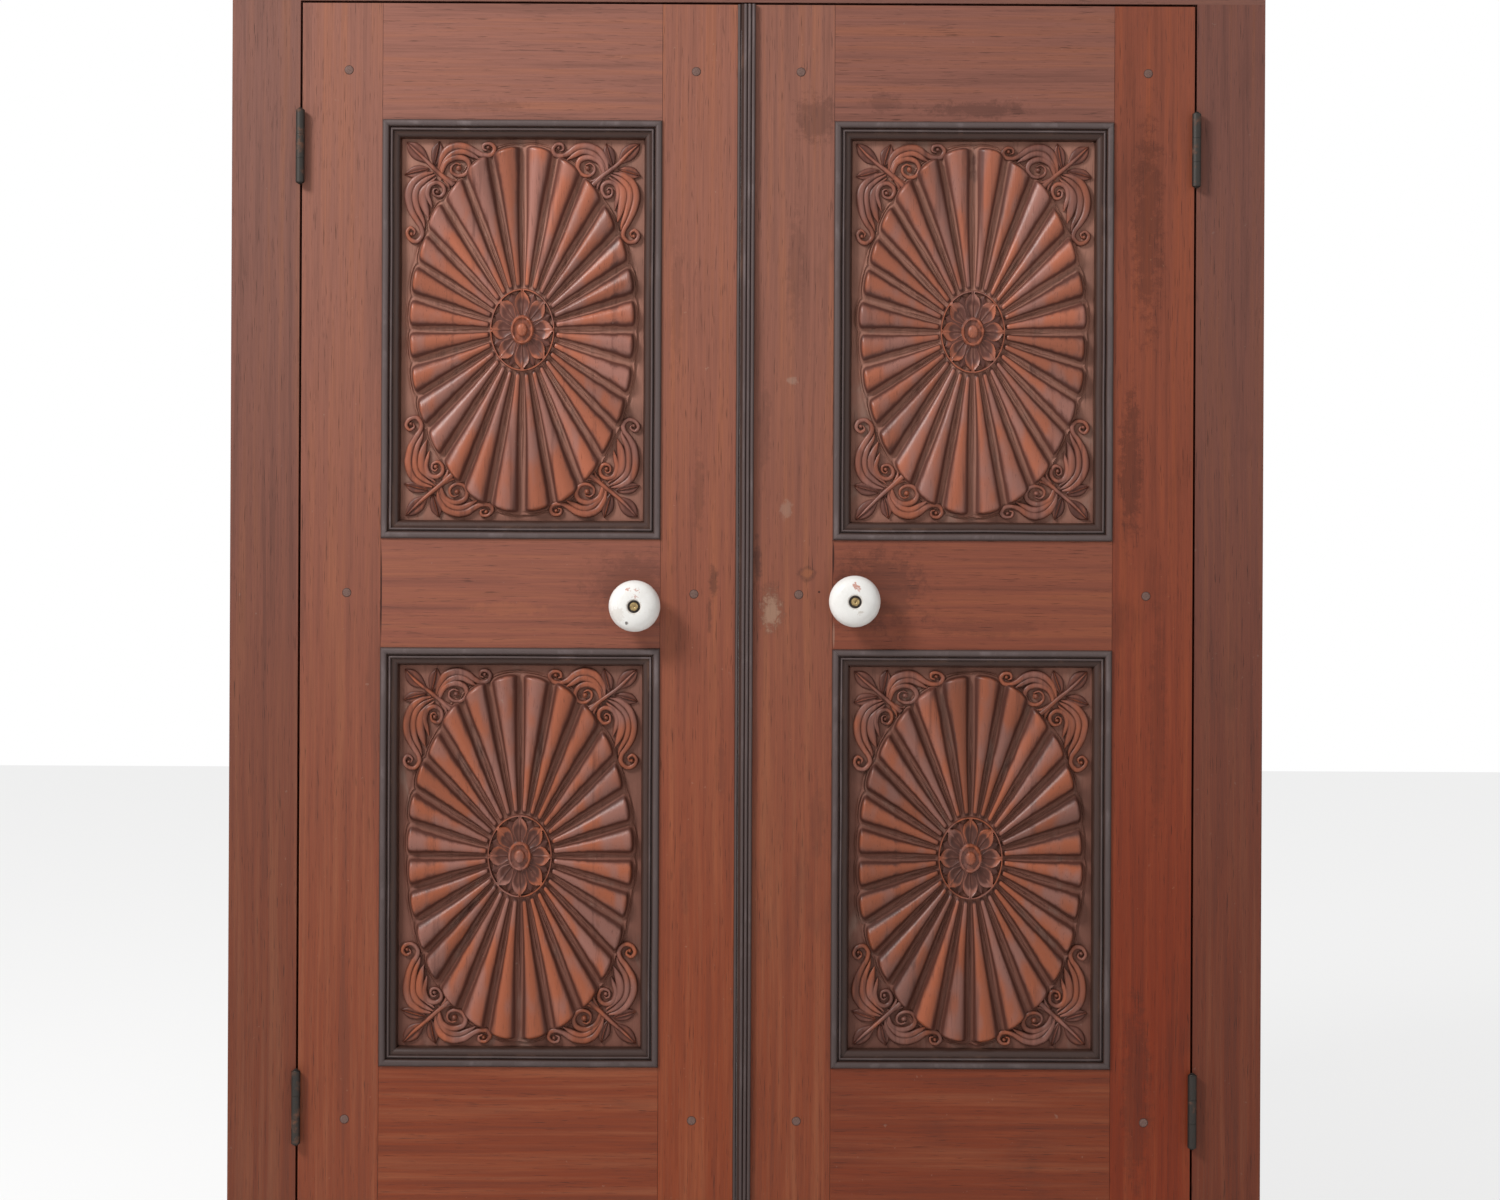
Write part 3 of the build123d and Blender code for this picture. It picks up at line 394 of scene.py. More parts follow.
# Colours of the carving, with its painted shade and painted sheen, and how strongly each part of
# its wear and painted light shows
carvedColours = {
    "crestHigh": (0.305, 0.093, 0.050, 1.0),
    "crestLow": (0.295, 0.080, 0.035, 1.0),
    # the greyish pink below is a painted sheen: the reflection of the sky on the varnish
    "paintedSheen": (0.235, 0.112, 0.092, 1.0),
    "dark": (0.060, 0.018, 0.012, 1.0),
    # the wall colours are painted shade on the carving's steep walls
    "shadedWallHigh": (0.100, 0.034, 0.024, 1.0),
    "shadedWallLow": (0.080, 0.024, 0.015, 1.0),
    "groundHigh": (0.270, 0.124, 0.088, 1.0),
    "groundLow": (0.170, 0.066, 0.045, 1.0),
    "dust": (0.260, 0.175, 0.140, 1.0),
}
carvedWear = {
    "heights": (0.4, 1.45),     # in m, from the low colours to the high ones, which are paler and greyer: a painted reflection of the sky
    "paintedSheen": 0.75,
    "backSkin": (0.004, 0.008), # the painted sheen ends between these depths in front of the back, in m
    "groundDust": 0.65,
    "uneven": 0.18,
    "figure": 0.5,
    "dark": 0.40,
    "pores": 0.5,
    "flecks": 0.45,
    "tint": 0.14,
    "roughness": (0.70, 0.36),  # in the hollows, and on the crests
    "relief": 0.22,
    "sheen": 0.28,
}


def carvedMaterial(name, offset, tone, backFace):
    # the carving: rubbed crests, walls and valleys darkened as painted shade, dusty hollows, grain
    # upright through all of it;
    # the greyer painted sheen in places stays off the plain back, which lies at backFace
    material, tree, shader = newMaterial(name)
    colours, wear = carvedColours, carvedWear
    place = ownPlace(tree)
    along = stretched(tree, place, (1.0, 1.0, 1.0), (offset, offset, offset * 2.3))
    wood = placeGroup(tree, woodGrain, {"Vector": along})
    dirtAndShade = placeGroup(tree, smudges, {"Vector": along, "Size": 22.0, "Cover": 0.46})
    crest, tint = pointValue(tree, "crest"), pointValue(tree, "tint")
    apart = addNode(tree, "SeparateXYZ", [place]).outputs
    # painted reflection: the crest, wall and ground colours below pale and grey with height
    rise = spread(tree, apart["Z"], *wear["heights"])
    paintedSheen = noise(tree, stretched(tree, along, (1.0, 1.0, 0.45)), 26.0, 2.0)
    paintedSheen = spread(tree, paintedSheen, 0.42, 0.62, 0.0, wear["paintedSheen"])
    front = spread(tree, apart["Y"], *(backFace - skin for skin in wear["backSkin"]))
    wearAndLight = mixed(tree, rise, colours["crestLow"], colours["crestHigh"])
    # painted sheen: patches of greyish pink reflection of the sky, kept off the back
    wearAndLight = mixed(tree, times(tree, paintedSheen, front), wearAndLight, colours["paintedSheen"])
    shadedWalls = mixed(tree, rise, colours["shadedWallLow"], colours["shadedWallHigh"])
    hollow = mixed(tree, rise, colours["groundLow"], colours["groundHigh"])
    hollow = mixed(tree, times(tree, dirtAndShade["Blotches"], wear["groundDust"]), hollow, colours["dust"])
    uneven = times(tree, maths(tree, "SUBTRACT", dirtAndShade["Blotches"], 0.5), wear["uneven"])
    grainy = times(tree, maths(tree, "SUBTRACT", wood["Figure"], 0.5), wear["figure"])
    level = plus(tree, crest, plus(tree, uneven, grainy))
    # from the dusty ground over the walls, darkened as painted shade, to the rubbed crests
    base = mixed(tree, spread(tree, level, 0.10, 0.34), hollow, shadedWalls)
    base = mixed(tree, spread(tree, level, 0.52, 0.88), base, wearAndLight)
    streaks = spread(tree, wood["Figure"], 0.46, 0.30, 0.0, wear["dark"])
    base = mixed(tree, streaks, base, colours["dark"])
    base = mixed(tree, times(tree, wood["Pores"], wear["pores"]), base, colours["dark"])
    base = mixed(tree, times(tree, dirtAndShade["Flecks"], wear["flecks"]), base, colours["dust"])
    bright = plus(tree, tone, times(tree, tint, wear["tint"]))
    bright = addNode(tree, "CombineColor", [bright, bright, bright]).outputs[0]
    base = mixed(tree, 1.0, base, bright, "MULTIPLY")
    roughness = spread(tree, crest, 0.1, 0.9, *wear["roughness"])
    relief = plus(tree, wood["Fibres"], times(tree, noise(tree, place, 420.0, 3.0), 0.6))
    finishWith(tree, shader, base, roughness, relief, wear["relief"], wear["sheen"])
    return material


def pegMaterial():
    # end grain: greyed and dense, and darkened round its edge as painted shade of the gap round the
    # peg
    material, tree, shader = newMaterial("pegEndGrain")
    grain = noise(tree, ownPlace(tree), 900.0, 3.0)
    dense, grey = (0.095, 0.048, 0.038, 1.0), (0.170, 0.100, 0.082, 1.0)
    base = mixed(tree, spread(tree, grain, 0.3, 0.7), dense, grey)
    # painted shade: round the edge of the end, where the crest value is low, the end grain is
    # darkened to the pore colour
    dirtAndShade = spread(tree, pointValue(tree, "crest"), 0.75, 0.35, 0.0, 0.85)
    base = mixed(tree, dirtAndShade, base, boardColours["pore"])
    finishWith(tree, shader, base, 0.6, grain, 0.10, 0.28)
    return material


# the quirk colour is painted shade; the grey of the rounds is wear and a painted highlight; the
# brown is dirt
ebonisedColours = {
    "quirk": (0.043, 0.018, 0.012, 1.0),
    "round": (0.064, 0.042, 0.039, 1.0),
    "wearAndLight": (0.180, 0.140, 0.138, 1.0),
    "dirtAndShade": (0.135, 0.066, 0.042, 1.0),
    "foot": (0.022, 0.011, 0.009, 1.0),
}


def ebonisedMaterial():
    # black polish over wood: rubbed grey along its rounds, which is wear and a painted highlight;
    # painted shade and brown dirt in its quirks;
    # and darker towards the foot of the door
    material, tree, shader = newMaterial("ebonisedWood")
    colours = ebonisedColours
    place = ownPlace(tree)
    wood = placeGroup(tree, woodGrain, {"Vector": place})
    dirtAndShade = placeGroup(tree, smudges, {"Vector": place, "Size": 30.0, "Cover": 0.5})
    crest = pointValue(tree, "crest")
    # painted shade: where the crest value is low, in the quirks, the colour is darker
    base = mixed(tree, spread(tree, crest, 0.25, 0.95), colours["quirk"], colours["round"])
    # the grey along the crests of the rounds: wear, and a painted highlight
    wearAndLight = plus(tree, times(tree, dirtAndShade["Blotches"], 0.6), 0.25)
    wearAndLight = times(tree, wearAndLight, spread(tree, crest, 0.75, 1.0, 0.0, 0.8))
    base = mixed(tree, wearAndLight, base, colours["wearAndLight"])
    brown = times(tree, dirtAndShade["Blotches"], spread(tree, crest, 0.5, 0.0, 0.0, 0.8))
    base = mixed(tree, brown, base, colours["dirtAndShade"])
    low = spread(tree, heightOf(tree, place), 0.9, 0.3, 0.0, 0.35)
    base = mixed(tree, low, base, colours["foot"])
    roughness = spread(tree, wood["Fibres"], 0.3, 0.7, 0.27, 0.46)
    finishWith(tree, shader, base, roughness, wood["Fibres"], 0.14, 0.30)
    return material


ironLooks = {       # colour of the metal, how far rust has spread, roughness where it is bare
    "hingeIron": ((0.047, 0.042, 0.038, 1.0), 0.10, 0.48),
    "boltIron": ((0.028, 0.027, 0.028, 1.0), 0.02, 0.42),
    "boltSteel": ((0.240, 0.228, 0.212, 1.0), 0.0, 0.36),
    "screwSteel": ((0.150, 0.140, 0.130, 1.0), 0.08, 0.45),
}
rustColour = (0.115, 0.045, 0.022, 1.0)


def ironMaterial(name, colour, rust, bare):
    # old iron: dark scale, and rust in patches, which is duller and less of a metal
    material, tree, shader = newMaterial(name)
    place = ownPlace(tree)
    fine = noise(tree, place, 700.0, 3.0)
    patches = noise(tree, place, 60.0, 6.0, 0.65)
    mask = spread(tree, patches, 0.62 - rust, 0.80 - rust)
    base = mixed(tree, mask, colour, rustColour)
    feed(tree, spread(tree, mask, 0.0, 1.0, 0.9, 0.1), shader.inputs["Metallic"])
    roughness = plus(tree, spread(tree, mask, 0.0, 1.0, bare, 0.8), times(tree, fine, 0.1))
    finishWith(tree, shader, base, roughness, plus(tree, fine, mask), 0.12)
    return material


def brassMaterial():
    # brass, with tarnish in small patches
    material, tree, shader = newMaterial("agedBrass")
    bright, dull = (0.42, 0.30, 0.14, 1.0), (0.150, 0.098, 0.053, 1.0)
    tarnish = spread(tree, noise(tree, ownPlace(tree), 260.0, 5.0, 0.6), 0.42, 0.66)
    shader.inputs["Metallic"].default_value = 1.0
    roughness = spread(tree, tarnish, 0.0, 1.0, 0.28, 0.58)
    finishWith(tree, shader, mixed(tree, tarnish, bright, dull), roughness, tarnish, 0.05)
    return material


porcelainLook = {
    "glaze": (0.765, 0.748, 0.718, 1.0),
    "grime": (0.420, 0.350, 0.280, 1.0),
    "rust": (0.420, 0.120, 0.060, 1.0),
    "body": (0.060, 0.045, 0.038, 1.0),
}


def spotMask(tree, place, centre, radius, ragged):
    # 1 inside a ball round a place, with an edge broken by noise
    away = addNode(tree, "VectorMath", [place, centre], operation="DISTANCE").outputs["Value"]
    rough = maths(tree, "SUBTRACT", noise(tree, place, 420.0, 4.0), 0.5)
    away = plus(tree, away, times(tree, rough, ragged))
    return spread(tree, away, radius * 1.04, radius * 0.93)


def porcelainMaterial(name, spots):
    # white glaze with fine crazing, a grey bloom, and the rust stains and chips of one knob
    material, tree, shader = newMaterial(name)
    colours = porcelainLook
    place = ownPlace(tree)
    inputs = {"Vector": place, "Scale": 160.0}
    cells = addNode(tree, "TexVoronoi", inputs, feature="DISTANCE_TO_EDGE")
    lines = spread(tree, cells.outputs["Distance"], 0.035, 0.0, 0.0, 0.10)
    bloom = spread(tree, noise(tree, place, 55.0, 5.0), 0.45, 0.8, 0.0, 0.16)
    base = mixed(tree, lines, colours["glaze"], colours["grime"])
    base = mixed(tree, bloom, base, colours["grime"])
    roughness = 0.22
    for centre, radius, ragged, kind, strength in spots:
        mask = times(tree, spotMask(tree, place, centre, radius, ragged), strength)
        base = mixed(tree, mask, base, colours[kind])
        roughness = plus(tree, roughness, times(tree, mask, 0.3))
    feed(tree, base, shader.inputs["Base Color"])
    feed(tree, roughness, shader.inputs["Roughness"])
    shader.inputs["Specular IOR Level"].default_value = 0.35
    shader.inputs["Coat Weight"].default_value = 0.2
    return material


ebonised = ebonisedMaterial()
irons = {name: ironMaterial(name, *look) for name, look in ironLooks.items()}
brass = brassMaterial()
print("materials made:", len(bpy.data.materials))

# Boards and ironwork of the frame and leaves keep their CAD shape. For each board: the way its
# grain runs, its tone, how grey and how smudged it is, and where in the grain it is cut from.
boardLooks = {
    "left_hinge_stile": ("upright", (0.96, 0.92, 0.90), 0.04, 0.34, 0.0),
    "left_meeting_stile": ("upright", (1.05, 0.98, 0.92), 0.00, 0.34, 0.7),
    "left_top_rail": ("across", (1.00, 0.95, 0.95), 0.05, 0.38, 1.1),
    "left_lock_rail": ("across", (1.02, 0.98, 1.00), 0.03, 0.34, 2.3),
    "left_bottom_rail": ("across", (0.95, 0.90, 0.90), 0.00, 0.40, 3.1),
    "right_hinge_stile": ("upright", (0.90, 0.60, 0.46), 0.00, 0.46, 4.4),
    "right_meeting_stile": ("upright", (0.98, 0.95, 0.92), 0.02, 0.44, 5.2),
    "right_top_rail": ("across", (0.90, 0.84, 0.84), 0.02, 0.44, 6.3),
    "right_lock_rail": ("across", (0.94, 0.82, 0.76), 0.00, 0.42, 7.1),
    "right_bottom_rail": ("across", (0.86, 0.78, 0.76), 0.00, 0.44, 8.6),
    "left_jamb": ("upright", (0.72, 0.72, 0.75), 0.05, 0.42, 9.2),
    "right_jamb": ("upright", (0.66, 0.60, 0.62), 0.05, 0.42, 10.5),
    "frame_head": ("across", (0.72, 0.72, 0.75), 0.06, 0.42, 11.4),
    "frame_sill": ("across", (0.60, 0.60, 0.62), 0.10, 0.50, 12.9),
}
plainNodes = {"frame_pegs": boardMaterial("pegWood", "upright", (0.55, 0.55, 0.60), 0.05, 0.5, 3.3)}
for nodeName, look in boardLooks.items():
    marks = boardMarks.get(nodeName, ())
    plainNodes[nodeName] = boardMaterial(nodeName + "Wood", *look, marks)
for sideName in sides:
    for level in levels:
        for plate in ("frame", "leaf"):
            plainNodes[f"{sideName}_{level}_hinge_{plate}_plate"] = irons["hingeIron"]
    plainNodes[f"{sideName}_knob_washer"] = brass
    plainNodes[f"{sideName}_knob_nut"] = brass
for bolt in ("top_bolt", "bottom_bolt", "latch_bolt"):
    plainNodes[f"{bolt}_plate"] = irons["boltIron"]
    plainNodes[f"{bolt}_rod"] = irons["boltSteel"]
plainNodes["latch_bolt_keeper"] = irons["boltIron"]
for nodeName, material in plainNodes.items():
    nodes[nodeName].data.materials.clear()
    nodes[nodeName].data.materials.append(material)
print("boards and ironwork finished")

# Carved panels
panelLook = {
    "opening": (350.0, 524.0),
    "board": (349.0, 523.0, 12.0),  # width, height and thickness under the carving
    "rays": 28,
    "rim": (145.5, 234.5),          # half width and half height of the oval of rays
    "dish": (41.0, 52.5),           # the same for the rosette's dish
    "rayHeight": 14.5,
    "taper": 0.8,                   # how the height falls towards the dish, as a power
    "flare": (0.88, 0.34, 0.35),    # fullness at the dish, what it gains, and where that starts
    "endRound": 9.5,
    "endPower": 2.7,
    "endUneven": 1.3,
    "leanUneven": 0.05,
    "heightUneven": 0.06,
    "tintUneven": 0.8,
    "hollow": 0.20,                 # how far the valleys between the rays are darkened, as painted shade
    "shaftEnd": 15.0,               # even rows end this far from a ray's end, and close ones follow
    "groundGap": 1.4,
    "waves": ((70, 0.16), (13, 0.07)),
    "backCrest": 0.78,
}
# Places across half a ray, and the height of its section there as a share of the crest
rayPlaces = (0.0, 0.18, 0.34, 0.46, 0.55, 0.62, 0.68, 0.74, 0.80, 0.86, 0.92, 0.96, 1.0, 1.04, 1.10)
rayHeights = (1.0, 0.955, 0.86, 0.74, 0.60, 0.44, 0.28, 0.14, 0.07, 0.05, 0.10, 0.17, 0.18,
              0.06, -0.06)
# Columns of points across half a ray, rows towards its end, and rows of the ground and the back
halfColumns = (0.16, 0.32, 0.46, 0.55, 0.62, 0.68, 0.74, 0.80, 0.86, 0.92, 0.96)
rayColumns = (-1.0, *(-place for place in reversed(halfColumns)), 0.0, *halfColumns)
endRows = (13.8, 12.6, 11.4, 10.2, 9.0, 8.0, 7.1, 6.3, 5.6, 4.9, 4.2, 3.5, 2.8, 2.2, 1.6, 1.0, 0.5,
           0.0, -0.6, -1.4)
groundRows = (0.03, 0.08, 0.16, 0.28, 0.45, 0.68, 1.0)
backRows = (1.0, 0.66, 0.33, 0.02)
rosetteLook = {
    "petals": 8,
    "floor": (1.8, 1.6),            # height under the rim, and what it gains towards the eye
    "petalFrom": (0.2, 0.4, 0.56, 0.7, 0.82, 0.9, 0.95),
    "petalHalf": (0.5, 0.76, 0.95, 0.88, 0.6, 0.26, 0.03),  # half width at those shares of the way
    "petal": (4.4, 2.2, 0.9),       # height, cup and vein
    "lift": (2.6, 0.5),             # how far the tips rise, and how much that varies
    "sepalFrom": (0.5, 0.75, 0.93),
    "sepalHalf": (0.9, 0.62, 0.03),
    "sepal": (5.0, 1.3),            # height in the middle, and its fall to the edges
    "rim": (7.0, 0.962, 0.026),     # height, place and half width, as of the ring
    "ring": (8.6, 0.305, 0.048),
    "ringWave": 0.6,
    "seat": (5.6, 0.25),            # height and edge of the ground round the button
    "button": (8.2, 3.2, 0.165),    # height of its side, dome over that, and edge
}


def ovalPoints(shares, halfWidth, halfHeight):
    # points at shares of an oval's length, which is added up over fine steps and read backwards
    angle = np.linspace(0, 2 * np.pi, 4001)
    steps = np.hypot(np.diff(halfWidth * np.cos(angle)), np.diff(halfHeight * np.sin(angle)))
    length = np.concatenate([[0], np.cumsum(steps)])
    at = np.interp(np.mod(shares, 1) * length[-1], length, angle)
    return halfWidth * np.cos(at), halfHeight * np.sin(at)


def rosetteHeight(rho, turn, lift):
    # height over the ground at a share rho of the dish's edge, in direction turn: a dish with a
    # rolled rim, eight cupped petals that rise to their tips over sepals, a ring and a button.
    # apart is 0 along the middle of a petal and 1 midway between two.
    look = rosetteLook
    pitch = 2 * np.pi / look["petals"]
    petal = np.round(turn / pitch).astype(int) % look["petals"]
    apart = np.abs((turn + pitch / 2) % pitch - pitch / 2) / (pitch / 2)
    floor = look["floor"][0] + look["floor"][1] * smoothStep(rho, 0.9, 0.3)
    across = apart / np.interp(rho, look["petalFrom"], look["petalHalf"])
    tall, cup, vein = look["petal"]
    body = tall + lift[petal] * smoothStep(rho, 0.6, 0.9) + cup * (across**2 - 0.35)
    body = body + vein * np.exp(-((across / 0.12) ** 2))
    height = floor + (body - floor) * smoothStep(across, 1.08, 0.93)
    sepal = (1 - apart) / np.interp(rho, look["sepalFrom"], look["sepalHalf"])
    sepalBody = look["sepal"][0] - look["sepal"][1] * np.clip(sepal, 0, 1)
    height = np.maximum(height, floor + (sepalBody - floor) * smoothStep(sepal, 1.1, 0.9))
    height = np.where(rho > 0.95, floor, height)
    tall, place, half = look["rim"]
    height = np.maximum(height, tall * np.exp(-(((rho - place) / half) ** 4)))
    tall, place, half = look["ring"]
    tall = tall + look["ringWave"] * np.cos(look["petals"] * turn)
    height = np.maximum(height, tall * np.exp(-(((rho - place) / half) ** 4)))
    height = np.where(rho < look["seat"][1], look["seat"][0], height)
    side, dome, edge = look["button"]
    button = side + dome * np.sqrt(np.clip(1 - (rho / edge) ** 2, 0, 1))
    return np.where(rho < edge, button, height)


def carvedPanel(sideName, level, seed, material):
    # rows of points run out from the panel's middle along lines to the oval rim: first the
    # rosette, then the rays, the ground, the board's edge and its back. A ray's height is its
    # section at a distance that grows across the ray and past its rounded end alike.
    look = panelLook
    node = f"{sideName}_{level}_panel"
    low, high = nodeBox(node)
    centreX, centreZ = (low[0] + high[0]) / 2, (low[2] + high[2]) / 2
    boardWidth, boardHeight, thick = look["board"]
    groundY = high[1] - thick
    rng = np.random.default_rng(seed)
    ray = np.repeat(np.arange(look["rays"]), len(rayColumns))
    across = np.tile(rayColumns, look["rays"])
    rimX, rimZ = ovalPoints((ray + (across + 1) / 2) / look["rays"], *look["rim"])
    reach = np.hypot(rimX, rimZ)
    toX, toZ = rimX / reach, rimZ / reach
    middle = 1 - across**4
    outline = reach + rng.normal(0, look["endUneven"], look["rays"])[ray] * middle
    lean = rng.normal(0, look["leanUneven"], look["rays"])[ray] * (1 - across**2)
    tall = 1 + rng.normal(0, look["heightUneven"], look["rays"])[ray] * middle
    tint = rng.normal(0, look["tintUneven"], look["rays"])[ray] * middle

    dishX, dishZ = toX / look["dish"][0], toZ / look["dish"][1]
    dishReach = 1 / np.hypot(dishX, dishZ)
    rho = np.linspace(0.015, 1, 40)[:, None]
    turn = np.arctan2(dishZ, dishX)[None, :]
    meanLift, unevenLift = rosetteLook["lift"]
    lift = meanLift + rng.normal(0, unevenLift, rosetteLook["petals"])
    dishRadius = rho * dishReach
    dishHeight = rosetteHeight(rho + 0 * turn, turn + 0 * rho, lift)
    # the crest value rises with height; the carving material paints the low parts of the rosette
    # darker, as painted shade
    dishCrest = 0.1 + 0.85 * smoothStep(dishHeight, 2.2, 6.8)

    share = np.linspace(0, 1, 30)[1:, None]
    shaft = dishReach + (outline - look["shaftEnd"] - dishReach) * share
    rayRadius = np.vstack([shaft, outline - np.array(endRows)[:, None]])
    out = rayRadius / reach
    past = np.clip(1 - (outline - rayRadius) / look["endRound"], 0, None)
    power = look["endPower"]
    narrow, gain, start = look["flare"]
    fuller = narrow + gain * smoothStep(out, start, 1.0)
    edge = (np.abs((across + lean) / fuller) ** power + past**power) ** (1 / power)
    section = np.interp(edge, rayPlaces, rayHeights)
    rayHeight = section * look["rayHeight"] * tall * out ** look["taper"]
    # the crest value falls down a ray's flanks and is raised a little in the valleys between rays;
    # the carving material paints these low values darker, as painted shade
    hollow = smoothStep(outline - rayRadius, 0.0, 5.0) * smoothStep(out, 0.25, 0.55)
    rayCrest = np.clip(np.maximum(section * 1.1 - 0.04, look["hollow"] * hollow), 0, 1)

    alongX, alongZ = boardWidth / 2 / np.abs(toX), boardHeight / 2 / np.abs(toZ)
    boardReach = np.minimum(alongX, alongZ)
    foot = outline + look["groundGap"]
    groundRadius = foot + (boardReach - foot) * np.array(groundRows)[:, None]
    radius = np.vstack([dishRadius, rayRadius, groundRadius])
    height = np.vstack([dishHeight, rayHeight, 0 * groundRadius])
    crest = np.vstack([dishCrest, rayCrest, 0 * groundRadius])
    for wave, size in look["waves"]:
        height = height + ripple(rng, radius * toX, radius * toZ, wave, size)
    back = boardReach * np.array(backRows)[:, None]
    tint = np.vstack([tint + 0 * radius, 0 * back])
    radius = np.vstack([radius, back])
    height = np.vstack([height, np.full(back.shape, -thick)])
    crest = np.vstack([crest, np.full(back.shape, look["backCrest"])])
    grid = [centreX + radius * toX, groundY - height, centreZ + radius * toZ]
    shell = newShell()
    addGrid(shell, np.stack(grid, axis=-1), crest=crest, tint=tint)
    name, body = f"{sideName}_{level}_sunburst", f"{sideName}_leaf"
    makePiece(shell, name, material, body, [node], 55)
    return centreX, centreZ, groundY


# Foliage in each corner, as ribbons of (in from the side bead, in from the end bead, half width,
# height) and round eyes of (the same two, radius, height)
foliage = {
    "ribs": (
        ((40, 41, 1.0, 3), (27, 45, 2.8, 4.5), (15, 55, 3.8, 5.5), (9.5, 70, 4.0, 6),
         (11.5, 88, 3.6, 6), (18, 102, 3.0, 5.5), (24.5, 112, 2.6, 5.2), (25.5, 121, 2.5, 5),
         (19, 128, 2.4, 5), (10.5, 126, 2.3, 5), (6.5, 118.5, 2.1, 5), (11, 112.5, 1.8, 4.5),
         (16.5, 116, 1.4, 4), (15, 121, 0.8, 3.5)),
        ((43, 43, 0.8, 3), (31, 50, 2.6, 4.5), (21, 60, 3.3, 5.5), (17.5, 73, 3.4, 5.8),
         (20, 90, 3.0, 5.5), (26.5, 104, 2.0, 4.5), (28.5, 112, 0.5, 3)),
        ((44, 47, 0.8, 3), (34, 56, 2.6, 4.5), (27, 66, 4.0, 5.5), (26.5, 79, 4.3, 5.5),
         (30, 92, 3.2, 4.6), (33.5, 102, 0.5, 3)),
        ((37, 88, 0.5, 3), (34.5, 79, 2.2, 4.5), (32, 68, 2.8, 5.2), (36, 57, 2.7, 5.2),
         (45, 53.5, 2.4, 5), (52, 58, 2.2, 5), (53, 66, 2.1, 5), (48, 72, 1.9, 5),
         (41, 70, 1.6, 4.8), (40, 63.5, 1.3, 4.5), (44, 61, 1.0, 4.2), (47, 64, 0.6, 4)),
        ((46, 38, 1.0, 3), (49, 25, 2.8, 4.5), (57, 13, 3.6, 5.5), (70, 8, 4.0, 6),
         (83, 10.5, 3.6, 6), (94, 17.5, 3.0, 5.5), (103, 21, 2.6, 5.2), (112, 19.5, 2.5, 5),
         (115.5, 12.5, 2.3, 5),
         (110.5, 6.8, 2.1, 5), (103, 7.5, 1.8, 4.6), (101.5, 13, 1.4, 4.2), (106, 15, 0.8, 3.8)),
        ((47, 40, 0.8, 3), (54, 27, 2.6, 4.5), (64, 17.5, 3.2, 5.4), (76, 15.5, 3.2, 5.6),
         (88, 21, 2.6, 5), (97, 26, 0.6, 3.2)),
        ((50, 50, 0.6, 3), (51, 39, 2.2, 4.5), (56, 28, 2.8, 5), (68, 22.5, 3.0, 5.4),
         (80, 26, 2.8, 5.2), (84, 35, 2.5, 5), (79, 43.5, 2.2, 5), (70, 45.5, 2, 4.8),
         (62.5, 41, 1.7, 4.6), (62, 34, 1.4, 4.4), (67, 30, 1.1, 4.2), (73, 32, 0.7, 4)),
        ((65, 57, 2.9, 6), (50, 44, 2.4, 6), (34, 30.5, 2.1, 6), (20, 18, 1.7, 5.6),
         (9, 7, 0.5, 4.6)),
        ((70, 52, 0.5, 3), (62, 51, 1.9, 4.6), (54, 45, 1.0, 4)),
        ((60, 64, 0.5, 3), (58, 56, 1.9, 4.6), (52, 48, 1.0, 4)),
    ),
    "leaves": (
        ((33, 29, 1.4, 3), (22, 19.5, 7.0, 4.6), (13, 11, 6.2, 4.6), (6, 4.5, 0.4, 3)),
        ((40, 33, 1.2, 3), (43, 23, 5.4, 4.4), (45.5, 13, 5.6, 4.4), (48, 3.5, 0.4, 3)),
        ((34, 37, 1.2, 3), (25, 39.5, 5.2, 4.4), (14, 42.5, 5.6, 4.4), (4, 45.5, 0.4, 3)),
    ),
    "eyes": ((12.5, 120, 2.6, 6.2), (44.5, 66, 3.0, 5.8), (108, 11.5, 2.6, 6.2),
             (70.5, 36, 3.6, 5.8)),
    "stray": 0.9,
    "fullness": 1.30,
    "tintUneven": 0.6,
    "sunk": -1.5,                   # how far the ribbons' undersides lie in the ground
}
ribPlaces = np.array([-1, -0.93, -0.78, -0.55, -0.28, 0, 0.28, 0.55, 0.78, 0.93, 1])
ribShape = 0.42 + 0.58 * (1 - np.abs(ribPlaces) ** 2.6) ** 0.6
leafPlaces = np.array([-1, -0.92, -0.75, -0.5, -0.28, -0.14, 0, 0.14, 0.28, 0.5, 0.75, 0.92, 1])
leafRound = 0.35 + 0.65 * (1 - np.abs(leafPlaces) ** 4) ** 0.5
leafVein = 0.30 * np.exp(-((leafPlaces / 0.09) ** 2))
leafGroove = 0.32 * np.exp(-(((np.abs(leafPlaces) - 0.2) / 0.12) ** 2))
leafShape = leafRound * (0.80 + leafVein - leafGroove)


def inCorner(corner, inward, upright, height):
    # turns places counted from one corner of what the beads leave in sight into places on the
    # panel, each strayed a little and unevenly deep, as by hand
    seed, stray = corner["seed"], foliage["stray"]
    x = inward + ripple(np.random.default_rng(seed), inward, upright, 70, stray)
    z = upright + ripple(np.random.default_rng(seed + 1), inward, upright, 70, stray)
    depths = ripple(np.random.default_rng(seed + 2), inward, upright, 30, 0.25) * (height > 0)
    halfWidth, halfHeight = (size / 2 - beadLook["width"] for size in panelLook["opening"])
    return np.stack([
        corner["centreX"] + corner["toRight"] * (halfWidth - x),
        corner["groundY"] - (height + depths),
        corner["centreZ"] + corner["up"] * (halfHeight - z),
    ], axis=-1)


